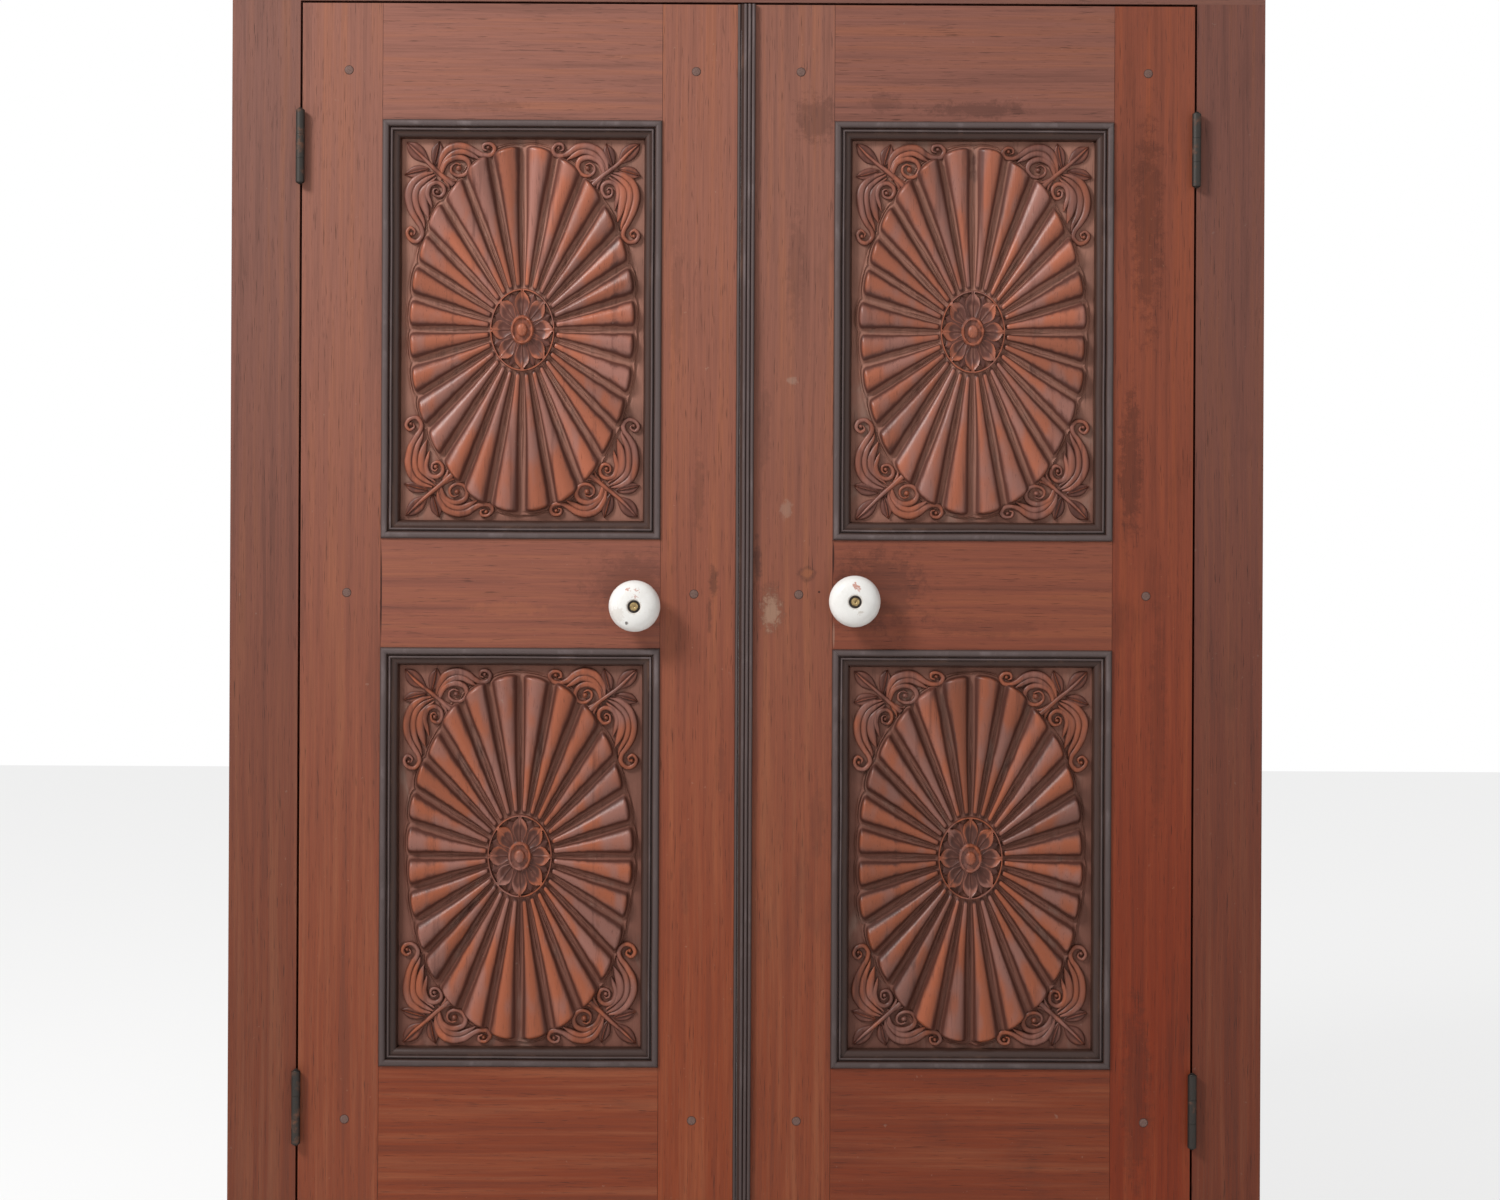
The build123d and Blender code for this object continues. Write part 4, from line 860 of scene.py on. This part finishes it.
def carvedRibbon(shell, corner, controls, places, shape, tint):
    # a section carried along a smooth line: at each point of the line its places lie square to
    # it, a half width apart, and its shape times the height stands over the ground
    line = curveThrough(controls, 5)
    run = np.gradient(line[:, :2], axis=0)
    run /= np.hypot(run[:, 0], run[:, 1])[:, None]
    width = np.maximum(line[:, 2], 0.2)[:, None] * foliage["fullness"]
    section = np.concatenate([places, [1.0, -1.0]])
    inward = line[:, 0][:, None] - run[:, 1][:, None] * width * section
    upright = line[:, 1][:, None] + run[:, 0][:, None] * width * section
    height = line[:, 3][:, None] * np.concatenate([shape, [0, 0]])
    height[:, -2:] = foliage["sunk"]
    # the crest value is low at the ribbons' edges, which the carving material paints darker, as
    # painted shade
    crest = np.concatenate([0.25 + 0.6 * shape, [0, 0]])[None, :]
    addGrid(shell, inCorner(corner, inward, upright, height), crest=crest, tint=tint)


def carvedEye(shell, corner, inward, upright, radius, tall, tint):
    # a dome on the end of a scroll: half a ball, drawn out to its height
    turn = np.linspace(0, 2 * np.pi, 17)[:-1][None, :]
    share = np.array([0.05, 0.4, 0.7, 0.9, 1.0, 1.0])[:, None]
    height = tall * np.sqrt(np.clip(1 - share**2, 0, 1)) + 0 * turn
    height[-1] = foliage["sunk"]
    inward = inward + radius * share * np.cos(turn)
    upright = upright + radius * share * np.sin(turn)
    addGrid(shell, inCorner(corner, inward, upright, height), crest=0.8, tint=tint)


def cornerFoliage(sideName, level, seed, material, centreX, centreZ, groundY):
    # one corner's pattern, turned into all four
    shell = newShell()
    rng = np.random.default_rng(seed)
    uneven = foliage["tintUneven"]
    for toRight, up in ((-1, -1), (-1, 1), (1, -1), (1, 1)):
        corner = {
            "toRight": toRight, "up": up, "seed": int(rng.integers(1 << 30)),
            "centreX": centreX, "centreZ": centreZ, "groundY": groundY,
        }
        for controls in foliage["ribs"]:
            carvedRibbon(shell, corner, controls, ribPlaces, ribShape, rng.normal(0, uneven))
        for controls in foliage["leaves"]:
            carvedRibbon(shell, corner, controls, leafPlaces, leafShape, rng.normal(0, uneven))
        for eye in foliage["eyes"]:
            carvedEye(shell, corner, *eye, rng.normal(0, uneven))
    name, body = f"{sideName}_{level}_foliage", f"{sideName}_leaf"
    makePiece(shell, name, material, body, (), 50)


# Beads round the panels, run round the opening and mitred
beadLook = {
    "width": 23.0,
    "roll": (0.0, 9.0, 14.3, 18.0),       # from, to, foot height, crown height
    "small": (10.2, 13.7, 12.3, 15.1),
    "ovolo": (14.8, 23.0, 12.0, 2.4),     # from, to, height there and at the foot
    "edgeFoot": 6.0,                      # the outer edge shows from this height up
    "under": -0.8,
    "stations": 44,
    "uneven": 0.16,
    "mitreGap": 0.05,
}


def roundOver(start, end, foot, crown, count):
    # half an oval from one side of a round to the other
    t = np.linspace(0, np.pi, count)
    across = start + (end - start) * (1 - np.cos(t)) / 2
    return np.stack([across, foot + (crown - foot) * np.sin(t)], axis=-1)


def beadSection():
    # the section as (distance in from the outer edge, height), and how high and open each point is,
    # which sets its rubbed grey and painted highlight, and painted shade in the quirks:
    # a roll, a quirk, a small round, a step and an ovolo down to the panel
    start, end, top, foot = beadLook["ovolo"]
    t = np.linspace(0, np.pi / 2, 12)
    across = start + (end - start) * np.sin(t)
    ovolo = np.stack([across, foot + (top - foot) * np.cos(t)], axis=-1)
    roll = roundOver(*beadLook["roll"], 17)
    small = roundOver(*beadLook["small"], 11)
    deep = small[0][1] - 0.2
    quirk = [[roll[-1][0] + 0.15, deep], [small[0][0] - 0.1, deep]]
    step = [[small[-1][0] + 0.1, top - 0.3], [start - 0.1, top - 0.3]]
    under = [[end, beadLook["under"]], [0, beadLook["under"]]]
    section = np.vstack([[[0, beadLook["edgeFoot"]]], roll, quirk, small, step, ovolo, under])
    crestRoll = 0.3 + 0.7 * np.sin(np.linspace(0, np.pi, len(roll)))
    crestSmall = 0.2 + 0.8 * np.sin(np.linspace(0, np.pi, len(small)))
    crestOvolo = 0.5 * np.sin(np.linspace(0.5, np.pi, len(ovolo)))
    inShade = [0, 0]
    crest = [[0.3], crestRoll, inShade, crestSmall, inShade, crestOvolo, inShade]
    return section, np.concatenate(crest)


def panelBeads(sideName, level, seed, centreX, centreZ, groundY):
    # each bead is the section carried along one side of the opening; a point's run is shortened
    # at both ends by its distance in from the edge, which makes the mitres
    shell = newShell()
    rng = np.random.default_rng(seed)
    section, crest = beadSection()
    deep, tall = section[:, 0], section[:, 1]
    halfWidth, halfHeight = (size / 2 for size in panelLook["opening"])
    uneven = beadLook["uneven"]
    t = np.linspace(-1, 1, beadLook["stations"])[:, None]
    for toRight, up in ((-1, 0), (1, 0), (0, -1), (0, 1)):
        halfRun, out = (halfHeight, halfWidth) if toRight else (halfWidth, halfHeight)
        along = t * (halfRun - beadLook["mitreGap"] - deep)
        away = out - deep + ripple(rng, along, 0 * along, 160, uneven) * (deep > 0.5)
        height = tall + ripple(rng, along, 0 * along, 90, uneven) * (tall > 0)
        x = centreX + (toRight * away if toRight else along)
        z = centreZ + (up * away if up else along)
        addGrid(shell, np.stack([x, groundY - height, z], axis=-1), crest=crest[None, :])
    replaced = [f"{sideName}_{level}_side_beads", f"{sideName}_{level}_end_beads"]
    name, body = f"{sideName}_{level}_beads", f"{sideName}_leaf"
    makePiece(shell, name, ebonised, body, replaced, 50)


# Each panel's seed for its unevenness, and its tone
for sideName, level, seed, tone in (
    ("left", "upper", 11, 1.0), ("right", "upper", 23, 1.0),
    ("left", "lower", 37, 0.94), ("right", "lower", 41, 0.88),
):
    backFace = nodeBox(f"{sideName}_{level}_panel")[1][1] * mm
    wood = carvedMaterial(f"{sideName}{level.title()}Carving", seed * 0.37, tone, backFace)
    place = carvedPanel(sideName, level, seed, wood)
    cornerFoliage(sideName, level, seed + 1, wood, *place)
    panelBeads(sideName, level, seed + 2, *place)
print("carved panels and beads made")

# Strips on the meeting edges
stripLook = {
    "reeds": 3,
    "reeded": 15.0,        # width of the reeds; what is left of the strip is a flat lip
    "lipHeight": 2.2,
    "valley": 0.42,        # how deep the grooves between reeds go, as a share of the height
    "kept": 0.94,          # what wear has left of the height, with long and short dips in it
    "dips": ((210, 0.06), (35, 0.03)),
    "under": -0.2,
    "uneven": 0.12,
    "stations": 150,
}


def meetingStrip(node, body, reeds, seed):
    # rounds side by side across the strip, carried up the leaf; where it was knocked it is lower
    look = stripLook
    low, high = nodeBox(node)
    start, valley, lip = low[0], 1.0, 0.05
    if reeds > 1:
        start, valley, lip = high[0] - look["reeded"], look["valley"], look["lipHeight"]
    width, tall = high[0] - start, leafFront - low[1]
    rng = np.random.default_rng(seed)
    t = np.linspace(0, np.pi, 11)
    rounds = [start + (reed + (1 - np.cos(t)) / 2) * width / reeds for reed in range(reeds)]
    across = np.concatenate([[low[0], start - 0.01], *rounds, [high[0], low[0]]])
    heights = np.tile(tall * (1 - valley + valley * np.sin(t)), reeds)
    out = np.concatenate([[lip, lip], heights, [look["under"], look["under"]]])
    # the crest value is low in the grooves and on the lip, which the black finish paints darker, as
    # painted shade
    crest = np.clip(out / tall, 0, 1)[None, :] ** 2
    rise = np.linspace(low[2], high[2], look["stations"])[:, None]
    worn = sum(ripple(rng, rise, 0 * rise, wave, size) for wave, size in look["dips"])
    proud = np.where(out > lip, np.clip(out * (look["kept"] + worn), None, tall), out)
    side = across + ripple(rng, rise, 0 * rise, 300, look["uneven"]) * (out > lip)
    side = np.clip(side, low[0], high[0])
    shell = newShell()
    addGrid(shell, np.stack([side, leafFront - proud, rise + 0 * side], axis=-1), crest=crest)
    name = node.replace("meeting", "edge")
    makePiece(shell, name, ebonised, body, [node], 50)


meetingStrip("left_meeting_bead", "left_leaf", 1, 51)
meetingStrip("right_meeting_astragal", "right_leaf", stripLook["reeds"], 53)
print("meeting strips made")


# Turned pieces: a profile of (radius, distance out) carried round an axis

def squareTo(axis):
    # two directions of length 1, square to an axis and to each other
    first = np.cross(axis, [0.0, 0.0, 1.0] if abs(axis[2]) < 0.5 else [1.0, 0.0, 0.0])
    first /= np.linalg.norm(first)
    return first, np.cross(axis, first)


def turned(shell, centre, axis, profile, columns, ring=False, crest=0.5):
    # the profile's points at each angle: centre + radius times the circle + distance times axis
    axis = np.array(axis, float)
    first, second = squareTo(axis)
    angle = np.linspace(0, 2 * np.pi, columns, endpoint=False)[:, None]
    circle = np.cos(angle) * first + np.sin(angle) * second
    radius, out = np.asarray(profile, float).T[:, :, None, None]
    addGrid(shell, centre + radius * circle + out * axis, ring=ring, crest=crest)


knobLook = {
    "outside": ((15.5, 0.0), (15.6, 2.4), (13.6, 5.2), (12.2, 9.0), (14.2, 13.6), (20.5, 16.2),
                (27.0, 18.2), (30.8, 21.6), (32.0, 26.0), (31.0, 31.2), (27.6, 36.4), (21.8, 40.2),
                (15.0, 42.1), (9.6, 42.5)),
    "recess": ((8.4, 42.1), (7.8, 41.2), (7.7, 38.8), (3.1, 38.7), (3.1, 0.0)),
    "seat": 38.7,               # the bolt's head sits this far out, on the recess's floor
    "head": ((0.05, 0.4), (1.3, 0.4), (1.4, 2.9), (2.0, 3.3), (3.9, 3.4), (5.0, 3.0), (5.55, 2.0),
             (5.6, 0.0), (2.9, 0.0)),
    "shank": 2.9,
    "shankEnd": (2.3, 0.6),     # its radius there, and how long the chamfer is
}

# Spots on each knob, in mm: (place from the middle of its foot, radius, how ragged, kind and
# strength); the last one is painted shade on the wall of the recess, in the colour of the bare body
knobSpots = {
    "left": (((-8, -42, 23), 3.4, 14, "rust", 0.75), ((4, -42, 21), 2.4, 14, "rust", 0.6),
             ((-9, -41.5, -21), 2.6, 6, "body", 0.85), ((2, -40, 13), 3.0, 16, "rust", 0.5),
             ((-20, -37, -10), 9, 18, "grime", 0.30), ((0, -39, 0), 10.3, 5, "grime", 0.45),
             ((0, -39, 0), 8.4, 0, "body", 1.0)),
    "right": (((0, -41, 20), 3.6, 16, "rust", 0.75), ((4, -41, 15), 2.2, 12, "rust", 0.55),
              ((6, -41, -13), 2.6, 14, "grime", 0.5), ((0, -39, 0), 10.3, 5, "grime", 0.45),
              ((0, -39, 0), 8.4, 0, "body", 1.0)),
}
for sideName in sides:
    low, high = nodeBox(f"{sideName}_knob")
    centre = np.array([(low[0] + high[0]) / 2, high[1], (low[2] + high[2]) / 2])
    spots = [
        (tuple((centre + np.array(place)) * mm), radius * mm, ragged * mm, kind, strength)
        for place, radius, ragged, kind, strength in knobSpots[sideName]
    ]
    outside = curveThrough(knobLook["outside"], 5)
    outside = np.minimum(outside, np.max(knobLook["outside"], axis=0))
    shell = newShell()
    turned(shell, centre, (0, -1, 0), np.vstack([outside, knobLook["recess"]]), 96, ring=True)
    glaze = porcelainMaterial(f"{sideName}Porcelain", spots)
    node, body = f"{sideName}_knob", f"{sideName}_leaf"
    makePiece(shell, f"{sideName}_knob_turned", glaze, body, [node], 60)
    seat = centre + np.array([0, -knobLook["seat"], 0])
    tail = seat[1] - nodeBox(f"{sideName}_knob_bolt")[1][1]
    endRadius, chamfer = knobLook["shankEnd"]
    shank = ((knobLook["shank"], tail + chamfer), (endRadius, tail), (0.05, tail))
    shell = newShell()
    turned(shell, seat, (0, -1, 0), np.vstack([knobLook["head"], shank]), 32)
    node = f"{sideName}_knob_bolt"
    makePiece(shell, f"{sideName}_knob_screw", brass, body, [node])

# Hinge pins with turned ends: (radius, distance past the knuckles)
pinEnd = ((0.05, 3.0), (1.7, 2.8), (2.9, 2.0), (2.7, 1.5), (4.3, 1.0), (4.6, 0.5), (4.5, 0.05),
          (3.0, 0.0))
for sideName in sides:
    shell = newShell()
    node = f"{sideName}_hinge_pins"
    x, y = sum(nodeBox(node))[:2] / 2
    for level in levels:
        low, high = nodeBox(f"{sideName}_{level}_hinge_frame_plate")
        half = (high[2] - low[2]) / 2
        end = [(radius, half + past) for radius, past in pinEnd]
        profile = end + [(radius, -out) for radius, out in reversed(end)]
        turned(shell, np.array([x, y, (low[2] + high[2]) / 2]), (0, 0, 1), profile, 32)
    name = f"{sideName}_hinge_pins_turned"
    makePiece(shell, name, irons["hingeIron"], "frame", [node])
print("knobs and hinge pins turned")

# Pegs through the joints, their end grain a little proud: each place is read from the CAD pegs
pegLook = {
    "profile": ((0.05, 0.4), (3.6, 0.4), (4.9, 0.32), (5.4, 0.05), (5.6, -0.6), (5.6, -40.0)),
    # the crest value: 1 on the end, falling to 0 at its edge, where the peg material paints shade
    "crest": (1.0, 1.0, 0.75, 0.1, 0.0, 0.0),
}
pegWood = pegMaterial()


def groupedByGaps(values):
    # numbers the values in groups that lie more than 10 mm apart
    order = np.argsort(values)
    group = np.empty(len(values), int)
    group[order] = np.concatenate([[0], np.cumsum(np.diff(values[order]) > 10)])
    return group


def nodeCorners(name):
    # the corners of a CAD node's mesh where they stand, in mm
    node = nodes[name]
    corners = np.empty(len(node.data.vertices) * 3)
    node.data.vertices.foreach_get("co", corners)
    stands = np.array(node.matrix_world)
    return (corners.reshape(-1, 3) @ stands[:3, :3].T + stands[:3, 3]) / mm


for sideName in sides:
    node, body = f"{sideName}_leaf_pegs", f"{sideName}_leaf"
    corners = nodeCorners(node)
    cells = np.stack([groupedByGaps(corners[:, 0]), groupedByGaps(corners[:, 2])], axis=-1)
    shell = newShell()
    wearAndLight = np.array(pegLook["crest"])[:, None]
    for cell in np.unique(cells, axis=0):
        found = corners[(cells == cell).all(axis=1)]
        x, _, z = (found.min(axis=0) + found.max(axis=0)) / 2
        centre = np.array([x, leafFront, z])
        turned(shell, centre, (0, -1, 0), pegLook["profile"], 24, crest=wearAndLight)
    makePiece(shell, f"{sideName}_pegs", pegWood, body, [node])

# Slotted countersunk screws
screwLook = {
    "radius": 3.9,
    "slot": 0.55,                       # half its width
    "slotDepth": 1.1,
    "under": (0.55, 2.4),               # the countersink: its share of the radius, and its depth
    "shank": (1.9, 2.0, 9.0),           # radius, and where it starts and ends
    "sunk": 0.15,
    "hingeFace": 559.0,                 # the plates meet this far from the door's middle
    "hingeGap": 0.3,                    # each head lies this far back from there
    "hingeDepths": (10.0, 21.0, 10.0),  # behind the leaf's front, for each screw of a plate
    "hingeHeights": (-30.0, 0.0, 30.0),
    "boltPlate": 3.0,                   # how thick a bolt's plate is
    "boltReach": 28.0,                  # from the plate's middle along the bolt, and across it
    "boltSide": 11.0,
}


def slottedScrew(shell, head, out, turn):
    # cuts across the head, from one side to the other: each is as long as the circle is wide
    # there, those inside the slot lie lower, and all run down to a smaller foot
    look = screwLook
    out = np.array(out, float)
    level, upright = squareTo(out)
    first = level * np.cos(turn) + upright * np.sin(turn)
    second = upright * np.cos(turn) - level * np.sin(turn)
    radius, slot = look["radius"], look["slot"]
    side = radius * np.array([0.6, 0.9, 0.995])
    cuts = np.concatenate([-side[::-1], [-slot, -slot, slot, slot], side])[:, None]
    half = np.sqrt(radius**2 - cuts**2)
    face = np.full(cuts.shape, -look["sunk"])
    face[4:6] -= look["slotDepth"]
    share, depth = look["under"]
    near, far = cuts * first + half * second, cuts * first - half * second
    top, foot = head + face * out, head - depth * out
    rows = [top + near, top + far, foot + share * far, foot + share * near]
    addGrid(shell, np.stack(rows, axis=1), crest=0.5)
    shankRadius, start, end = look["shank"]
    shank = ((shankRadius, start), (shankRadius, end - 2), (0.2, end))
    turned(shell, head, -out, shank, 10)


screwRng = np.random.default_rng(77)
screwShells = {body: newShell() for body in ("frame", "left_leaf", "right_leaf")}
for sideName, side in sides.items():
    for level in levels:
        # a leaf's plate faces its jamb, and the plate there faces the leaf
        for plate, body, facing in (("frame", "frame", -side), ("leaf", f"{sideName}_leaf", side)):
            low, high = nodeBox(f"{sideName}_{level}_hinge_{plate}_plate")
            middle = (low[2] + high[2]) / 2
            face = side * screwLook["hingeFace"] - facing * screwLook["hingeGap"]
            for deep, rise in zip(screwLook["hingeDepths"], screwLook["hingeHeights"]):
                head = np.array([face, leafFront + deep, middle + rise])
                slottedScrew(screwShells[body], head, (facing, 0, 0), screwRng.uniform(0, np.pi))
# a bolt's plate has four screws and the keeper two; run is the way the bolt slides
boltFace = leafBack + screwLook["boltPlate"]
for node, body, run, ends in (
    ("top_bolt_plate", "left_leaf", 2, (-1, 1)),
    ("bottom_bolt_plate", "left_leaf", 2, (-1, 1)),
    ("latch_bolt_plate", "right_leaf", 0, (-1, 1)),
    ("latch_bolt_keeper", "left_leaf", 0, (0,)),
):
    centre = sum(nodeBox(node)) / 2
    for end in ends:
        for side in (-1, 1):
            head = np.array([centre[0], boltFace, centre[2]])
            head[run] += end * screwLook["boltReach"]
            head[2 - run] += side * screwLook["boltSide"]
            slottedScrew(screwShells[body], head, (0, 1, 0), screwRng.uniform(0, np.pi))
for body, shell in screwShells.items():
    name, node = f"{body}_slotted_screws", f"{body}_screws"
    makePiece(shell, name, irons["screwSteel"], body, [node], 30)
print("screws made")

# Floor, light and camera
white = (1.0, 1.0, 1.0, 1.0)
studioLook = {
    "distance": 3.0,            # from the camera to the leaves' front, in m
    "frameWidth": 1.875,        # how wide the picture is there
    "centre": (0.004, 0.913),
    "height": 1.05,
    "roll": -0.27,              # in degrees
    "sensor": 36.0,
    "world": 0.52,
    "lamps": {                  # place, size and power
        "key": ((-2.5, -2.0, 3.4), 0.9, 142.0),
        "fill": ((2.8, -3.2, 1.4), 2.0, 8.0),
    },
    "lampsAimAt": (0.0, 0.0, 0.9),
    "floor": (0.90, 0.90, 0.89, 1.0),
    "floorReach": 6.0,
    "floorVeil": 0.70,
}


def makeFloor():
    # to the camera the floor is part white, so that it pales into the background
    far = studioLook["floorReach"]
    mesh = bpy.data.meshes.new("floor")
    corners = [(-far, -far, 0), (far, -far, 0), (far, far, 0), (-far, far, 0)]
    mesh.from_pydata(corners, [], [(0, 1, 2, 3)])
    material, tree, shader = newMaterial("paleFloor")
    shader.inputs["Base Color"].default_value = studioLook["floor"]
    shader.inputs["Roughness"].default_value = 0.9
    seen = addNode(tree, "Emission", {"Color": white, "Strength": 1.0})
    path = addNode(tree, "LightPath")
    veil = times(tree, path.outputs["Is Camera Ray"], studioLook["floorVeil"])
    mixing = addNode(tree, "MixShader", [veil, shader.outputs[0], seen.outputs[0]])
    feed(tree, mixing.outputs[0], tree.nodes["Material Output"].inputs["Surface"])
    mesh.materials.append(material)
    floor = bpy.data.objects.new("floor", mesh)
    bpy.context.scene.collection.objects.link(floor)


def makeWorld():
    # the camera, metal and glass see white, and the object is lit by a plain grey
    world = bpy.data.worlds.new("studio")
    bpy.context.scene.world = world
    world.use_nodes = True
    tree = world.node_tree
    lit = tree.nodes["Background"]
    lit.inputs["Color"].default_value = white
    lit.inputs["Strength"].default_value = studioLook["world"]
    seen = addNode(tree, "Background", {"Color": white, "Strength": 1.0})
    path = addNode(tree, "LightPath").outputs
    mask = maths(tree, "MAXIMUM", path["Is Glossy Ray"], path["Is Transmission Ray"])
    mask = maths(tree, "MAXIMUM", path["Is Camera Ray"], mask)
    mixing = addNode(tree, "MixShader", [mask, lit.outputs[0], seen.outputs[0]])
    feed(tree, mixing.outputs[0], tree.nodes["World Output"].inputs["Surface"])


def makeLamp(name, place, size, power):
    lamp = bpy.data.lights.new(name, "AREA")
    lamp.size = size
    lamp.energy = power
    light = bpy.data.objects.new(name, lamp)
    light.location = place
    aim = Vector(studioLook["lampsAimAt"]) - Vector(place)
    light.rotation_euler = aim.to_track_quat("-Z", "Y").to_euler()
    bpy.context.scene.collection.objects.link(light)


def makeCamera():
    # level and square to the door; the shift moves the picture down to the door's middle
    look = studioLook
    camera = bpy.data.objects.new("camera", bpy.data.cameras.new("camera"))
    across, middle = look["centre"]
    camera.location = (across, leafFront * mm - look["distance"], look["height"])
    camera.rotation_euler = (math.radians(90), math.radians(look["roll"]), 0)
    camera.data.sensor_width = look["sensor"]
    camera.data.lens = look["sensor"] * look["distance"] / look["frameWidth"]
    camera.data.shift_y = (middle - look["height"]) / look["frameWidth"]
    camera.data.clip_start = 0.05
    bpy.context.scene.collection.objects.link(camera)
    bpy.context.scene.camera = camera


makeFloor()
makeWorld()
for lampName, lampLook in studioLook["lamps"].items():
    makeLamp(lampName, *lampLook)
makeCamera()
bpy.context.scene.view_settings.view_transform = "Standard"
print("studio ready")
